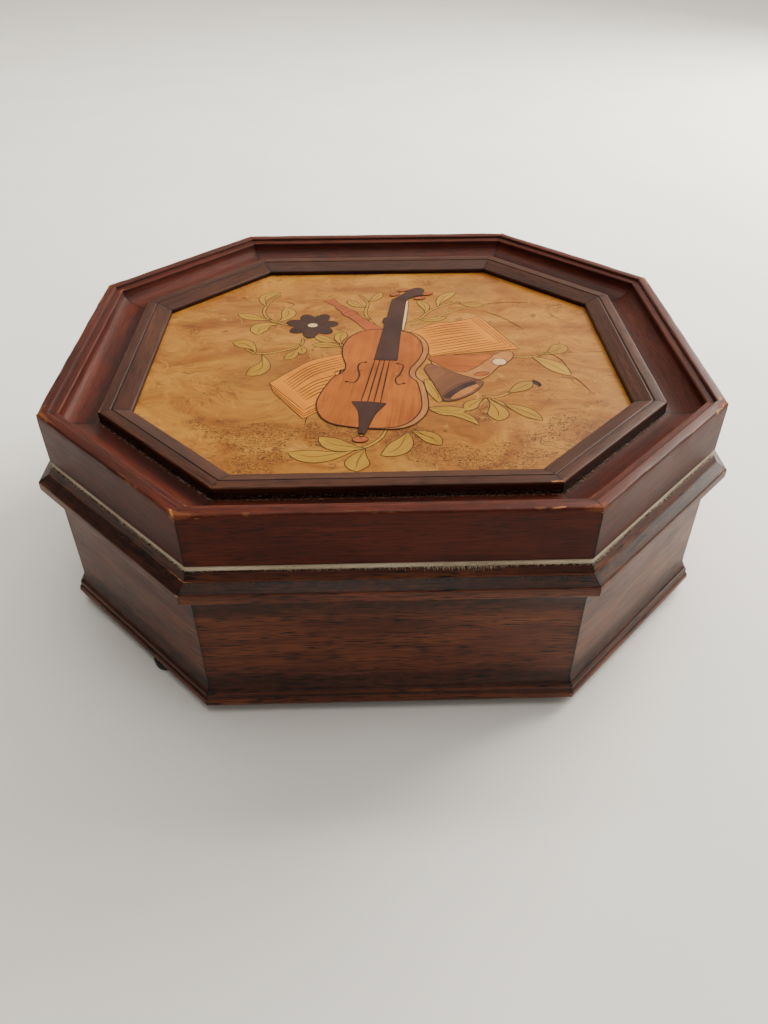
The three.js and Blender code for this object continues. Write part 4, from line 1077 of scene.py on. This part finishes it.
def screw(parts, centre, axis, radius, rise=None, turn=0.4):
    """A slotted cheese head with a rounded edge, standing on its seat at centre."""
    rise = rise or radius * 0.55
    slot_half, slot_depth = radius * 0.13, rise * 0.45
    axis = Vector(axis).normalized()
    aside = (Matrix.Rotation(turn, 3, axis) @ axis.orthogonal()).normalized()
    other = axis.cross(aside)
    centre = Vector(centre)
    for sign in (-1, 1):
        half = [math.asin(slot_half / radius) + (math.pi - 2 * math.asin(slot_half / radius)) * k / 14
                for k in range(15)]
        rings = [(1.0, 0), (1.0, rise * 0.75), (0.93, rise * 0.93), (0.82, rise)]
        verts = []
        for shrink, height in rings:
            for angle in half:
                across = max(math.sin(angle) * radius * shrink, slot_half) * sign
                verts.append(centre + aside * math.cos(angle) * radius * shrink * sign + other * across
                             + axis * height)
        parts.add(verts, capped_rings(len(rings) - 1, len(half)))
    bottom = rise - slot_depth
    floor = [centre + aside * x * radius * 0.97 + other * y * slot_half * 1.2 + axis * z
             for z in (0, bottom) for x, y in ((-1, -1), (1, -1), (1, 1), (-1, 1))]
    parts.add(floor, [(3, 2, 1, 0), (4, 5, 6, 7), (0, 1, 5, 4), (1, 2, 6, 5), (2, 3, 7, 6), (3, 0, 4, 7)])


COMB_PITCH = 1.3
COMB_TEETH = 40
PIN_LENGTH = 0.85
PIN_RADIUS = 0.14
PIN_SECTION = ((-0.3, 1), (PIN_LENGTH * 0.8, 1), (PIN_LENGTH, 0.55))  # height and share of the radius
HEXAGON = ((1, 0), (0.5, 0.87), (-0.5, 0.87), (-1, 0), (-0.5, -0.87), (0.5, -0.87))
PIN_CHANCE = 0.24  # of a pin on a tooth's track at a beat
BEATS = 60
COMB_SCREWS = 6
COMB_SCREW_PITCH = 8.6
BEARING_SCREW_Z = 28.4
HINGE_LEAF = 0.85
HINGE_SCREW_Y = 97.2


def make_drum(brass, steel):
    """The pinned drum: a turned brass tube with closed ends, and its pins in the comb's tracks."""
    start, end = low("cylinder_drum"), high("cylinder_drum")
    radius = (end.z - start.z) / 2
    centre = (0, (start.y + end.y) / 2, (start.z + end.z) / 2)
    turned = [(2.2, start.x + 0.9), (2.6, start.x + 0.5), (7.6, start.x + 0.5), (8.4, start.x + 0.1),
              (radius - 0.25, start.x), (radius, start.x + 0.25)]
    turned += [(radius - 0.04 * (k % 2), x) for k, x in enumerate(np.linspace(start.x + 1, end.x - 1, 25))]
    turned += [(radius, end.x - 0.25), (radius - 0.25, end.x), (8.4, end.x - 0.1), (7.6, end.x - 0.5),
               (2.6, end.x - 0.5), (2.2, end.x - 0.9)]
    drum = Parts()
    drum.add(*lathe(turned, centre, (1, 0, 0), 128))
    drum.build("pinned_drum", brass, "drum", "movement_brass", "cylinder_drum")

    random.seed(7)
    pins = Parts()
    first = (low("comb").x + high("comb").x - COMB_PITCH * (COMB_TEETH - 1)) / 2
    for tooth in range(COMB_TEETH):
        x = first + tooth * COMB_PITCH
        for beat in range(BEATS):
            if random.random() > PIN_CHANCE:
                continue
            angle = 2 * math.pi * (beat + 0.5 + random.uniform(-0.08, 0.08)) / BEATS
            spoke = Vector((0, math.cos(angle), math.sin(angle)))
            around = Vector((0, -math.sin(angle), math.cos(angle)))
            rings = []
            for height, width in PIN_SECTION:
                foot = Vector(centre) + spoke * (radius + height) + Vector((x, 0, 0))
                rings += [foot + (Vector((1, 0, 0)) * a + around * b) * PIN_RADIUS * width
                          for a, b in HEXAGON]
            pins.add(rings, capped_rings(len(PIN_SECTION) - 1, len(HEXAGON)))
    pins.build("drum_pins", steel, "drum", "bright_steel")


def make_feet(material, brass):
    """Turned rubber feet, dished underneath round a countersunk screw."""
    for corner in ("front_left", "front_right", "back_left", "back_right"):
        start, end = low(f"foot_{corner}"), high(f"foot_{corner}")
        centre = ((start.x + end.x) / 2, (start.y + end.y) / 2, 0)
        radius, top = (end.x - start.x) / 2, end.z
        section = [(0.4, 1.4), (1.9, 1.4), (2.1, 0.3), (2.5, 0.03), (radius - 1.1, 0.0), (radius - 0.6, 0.12),
                   (radius - 0.32, 0.5), (radius - 0.14, 1.2), (radius - 0.05, top - 0.5),
                   (radius - 0.25, top - 0.1), (radius - 0.6, top), (0.4, top)]
        foot = Parts()
        foot.add(*lathe(section, centre, (0, 0, 1), 56))
        foot.build(f"rubber_foot_{corner}", material, "case", "foot", f"foot_{corner}")
        head = Parts()
        screw(head, (centre[0], centre[1], 1.45), (0, 0, -1), 1.5, 0.7, turn=centre[0])
        head.build(f"foot_screw_{corner}", brass, "case", "hinge_brass")


def make_screws(brass, steel):
    """Screw heads on the comb, the bearings, the governor, the bedplate's posts and the hinges."""
    comb_screws, bed_screws = Parts(), Parts()
    comb_top, comb_back = high("comb").z, low("comb").y
    for k in range(COMB_SCREWS):
        x = low("comb").x + (k + 0.5) * COMB_SCREW_PITCH
        screw(comb_screws, (x, comb_back + 4.2, comb_top - 0.02), (0, 0, 1), 1.5, turn=k * 1.7)
    comb_screws.build("comb_screws", steel, "case", "bright_steel")
    for node in ("cylinder_bearing_left", "cylinder_bearing_right"):
        x = (low(node).x + high(node).x) / 2
        outwards = -1 if x < 0 else 1
        for y in (low(node).y + 2.4, high(node).y - 2.4):
            face = high(node).x if outwards > 0 else low(node).x
            screw(bed_screws, (face - outwards * 0.02, y, BEARING_SCREW_Z), (outwards, 0, 0), 1.3, turn=y)
    start, end = low("governor_frame"), high("governor_frame")
    for y in (start.y + 2.2, end.y - 2.2):
        screw(bed_screws, ((start.x + end.x) / 2, y, end.z - 0.02), (0, 0, 1), 1.1, turn=y)
    bed_screws.build("movement_screws", steel, "case", "bright_steel")
    for body, face, axis in (("case", Z_RIM + HINGE_LEAF, 1), ("lid", Z_LID - HINGE_LEAF, -1)):
        heads = Parts()
        for x in [side * HINGE_X + k * 7 for side in (-1, 1) for k in (-1, 0, 1)]:
            # known fault: HINGE_X is a hair under 31, so x % 2 is nearly 2 at 24 and 38, not 0, and
            # those screws sit 3.2 mm too far back
            y = HINGE_SCREW_Y + 1.6 * (x % 2)
            screw(heads, (x, y, face - axis * 0.25), (0, 0, axis), 1.2, 0.3, turn=x)
        heads.build(f"hinge_screws_{body}", brass, body, "hinge_brass")


def keep(material, rounding, *nodes):
    """Gives kept CAD nodes their material and a small radius on their edges."""
    for node in nodes:
        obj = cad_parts[node]
        obj.material_slots[0].material = material
        weld = obj.modifiers.new("weld", "WELD")
        weld.merge_threshold = 0.002 * MM
        edges = obj.modifiers.new("rounded_edges", "BEVEL")
        edges.width = rounding * MM
        edges.segments = 2
        edges.limit_method = "ANGLE"
        edges.angle_limit = math.radians(40)
        edges.use_clamp_overlap = True


def make_inside():
    cloth = plush("cream_plush", (0.5, 0.4, 0.28), (0.64, 0.53, 0.39), (0.72, 0.62, 0.48))
    brass = metal("movement_brass", (0.42, 0.25, 0.075), (0.78, 0.52, 0.2), 0.26)
    hinge_brass = metal("hinge_brass", (0.3, 0.17, 0.05), (0.62, 0.4, 0.15), 0.32, 0.6, (2.4, 0.08, 2.4))
    steel = metal("bright_steel", (0.42, 0.4, 0.37), (0.66, 0.65, 0.62), 0.22, 0.25, (2.4, 0.06, 2.4))
    dark_steel = metal("dark_steel", (0.1, 0.09, 0.085), (0.24, 0.22, 0.2), 0.38, 0.5)
    make_plush_strip(cloth)
    make_linings(cloth)
    make_drum(brass, steel)
    make_feet(rubber(), hinge_brass)
    make_screws(hinge_brass, steel)
    keep(cloth, 0.6, "case_liner", "divider", "glass_ledge")
    keep(glass(), 0.35, "glass_cover")
    keep(plywood(), 0.3, "bottom_board")
    keep(cast_paint(), 0.5, "bedplate")
    keep(brass, 0.12, "comb_base", "cylinder_bearing_left", "cylinder_bearing_right", "governor_frame",
         "cylinder_gear", "spring_barrel", "governor_wheel", "fly_vane")
    keep(hinge_brass, 0.12, "hinge_left_case_leaf", "hinge_left_lid_leaf", "hinge_right_case_leaf",
         "hinge_right_lid_leaf", "winding_key")
    keep(steel, 0.08, "comb", "cylinder_arbor", "fly_worm", "winding_arbor", "stop_rod")
    keep(dark_steel, 0.08, "mainspring", "hinge_left_pin", "hinge_right_pin")


# ---- Stage, light and camera
def make_stage():
    s = Shader("pale_floor", 0.85)
    tint = s.noise(s.object_mm(), 0.01, 3)
    s.set(Base_Color=s.ramp(tint, (0.3, (0.85, 0.835, 0.8)), (0.7, (0.9, 0.885, 0.85))))
    half, back, rise, bend = 2600, 1500, 1500, 400
    sweep = [(back + x, z + bend) for x, z in arc(0, 0, bend, bend, -90, 0, 12)]
    rows = [(-half, 0), *sweep, (back + bend, rise)]
    verts = [(x, y, z) for y, z in rows for x in (-half, half)]
    faces = [(2 * k, 2 * k + 1, 2 * k + 3, 2 * k + 2) for k in range(len(rows) - 1)]
    new_object("floor", verts, faces, s.material)


WARM = (1.0, 0.95, 0.86)


def area_light(name, place_mm, target_mm, size_mm, watts):
    lamp = bpy.data.lights.new(name, "AREA")
    lamp.shape = "RECTANGLE"
    lamp.size, lamp.size_y = size_mm[0] * MM, size_mm[1] * MM
    lamp.energy = watts
    lamp.color = WARM
    obj = bpy.data.objects.new(name, lamp)
    obj.location = Vector(place_mm) * MM
    obj.rotation_mode = "QUATERNION"
    obj.rotation_quaternion = (Vector(target_mm) * MM - obj.location).to_track_quat("-Z", "Y")
    bpy.context.scene.collection.objects.link(obj)


def make_light():
    world = bpy.data.worlds.new("studio")
    world.use_nodes = True
    tree = world.node_tree
    background = tree.nodes["Background"]
    direction = tree.nodes.new("ShaderNodeTexCoord").outputs["Generated"]
    across = tree.nodes.new("ShaderNodeVectorMath")
    across.operation = "DOT_PRODUCT"
    tree.links.new(direction, across.inputs[0])
    across.inputs[1].default_value = (0.9, 0.1, 0.2)
    ramp = tree.nodes.new("ShaderNodeMapRange")
    tree.links.new(across.outputs["Value"], ramp.inputs["Value"])
    for key, value in (("From Min", -0.8), ("From Max", 0.8), ("To Min", 0.17), ("To Max", 0.6)):
        ramp.inputs[key].default_value = value
    background.inputs["Color"].default_value = (1.0, 0.96, 0.89, 1)
    tree.links.new(ramp.outputs[0], background.inputs["Strength"])
    bpy.context.scene.world = world
    area_light("window_right", (760, 560, 520), (150, 50, 0), (650, 650), 24)
    area_light("overhead", (50, -100, 1400), (0, 0, 0), (1000, 1000), 8)
    area_light("backdrop_wash", (0, 500, 1100), (0, 1300, 200), (1400, 500), 16)


def make_camera():
    """The camera of the photograph: its distance, direction and roll about the box."""
    azimuth, elevation, roll = math.radians(-1.28), math.radians(39.09), math.radians(0.29)
    distance, aim = 338.4, Vector((0.5, -8.5, Z_CASE + 1.8))
    back = Vector((math.sin(azimuth) * math.cos(elevation), -math.cos(azimuth) * math.cos(elevation),
                   math.sin(elevation)))
    right = Vector((math.cos(azimuth), math.sin(azimuth), 0))
    up = back.cross(right)
    camera = bpy.data.cameras.new("camera")
    camera.lens = 28.86
    camera.clip_start = 0.01
    obj = bpy.data.objects.new("camera", camera)
    turn = Matrix((right, up, back)).transposed() @ Matrix.Rotation(-roll, 3, "Z")
    obj.matrix_world = Matrix.Translation((aim + back * distance) * MM) @ turn.to_4x4()
    bpy.context.scene.collection.objects.link(obj)
    bpy.context.scene.camera = obj


make_camera()
make_stage()
make_light()
make_woodwork()
make_panel()
make_inside()
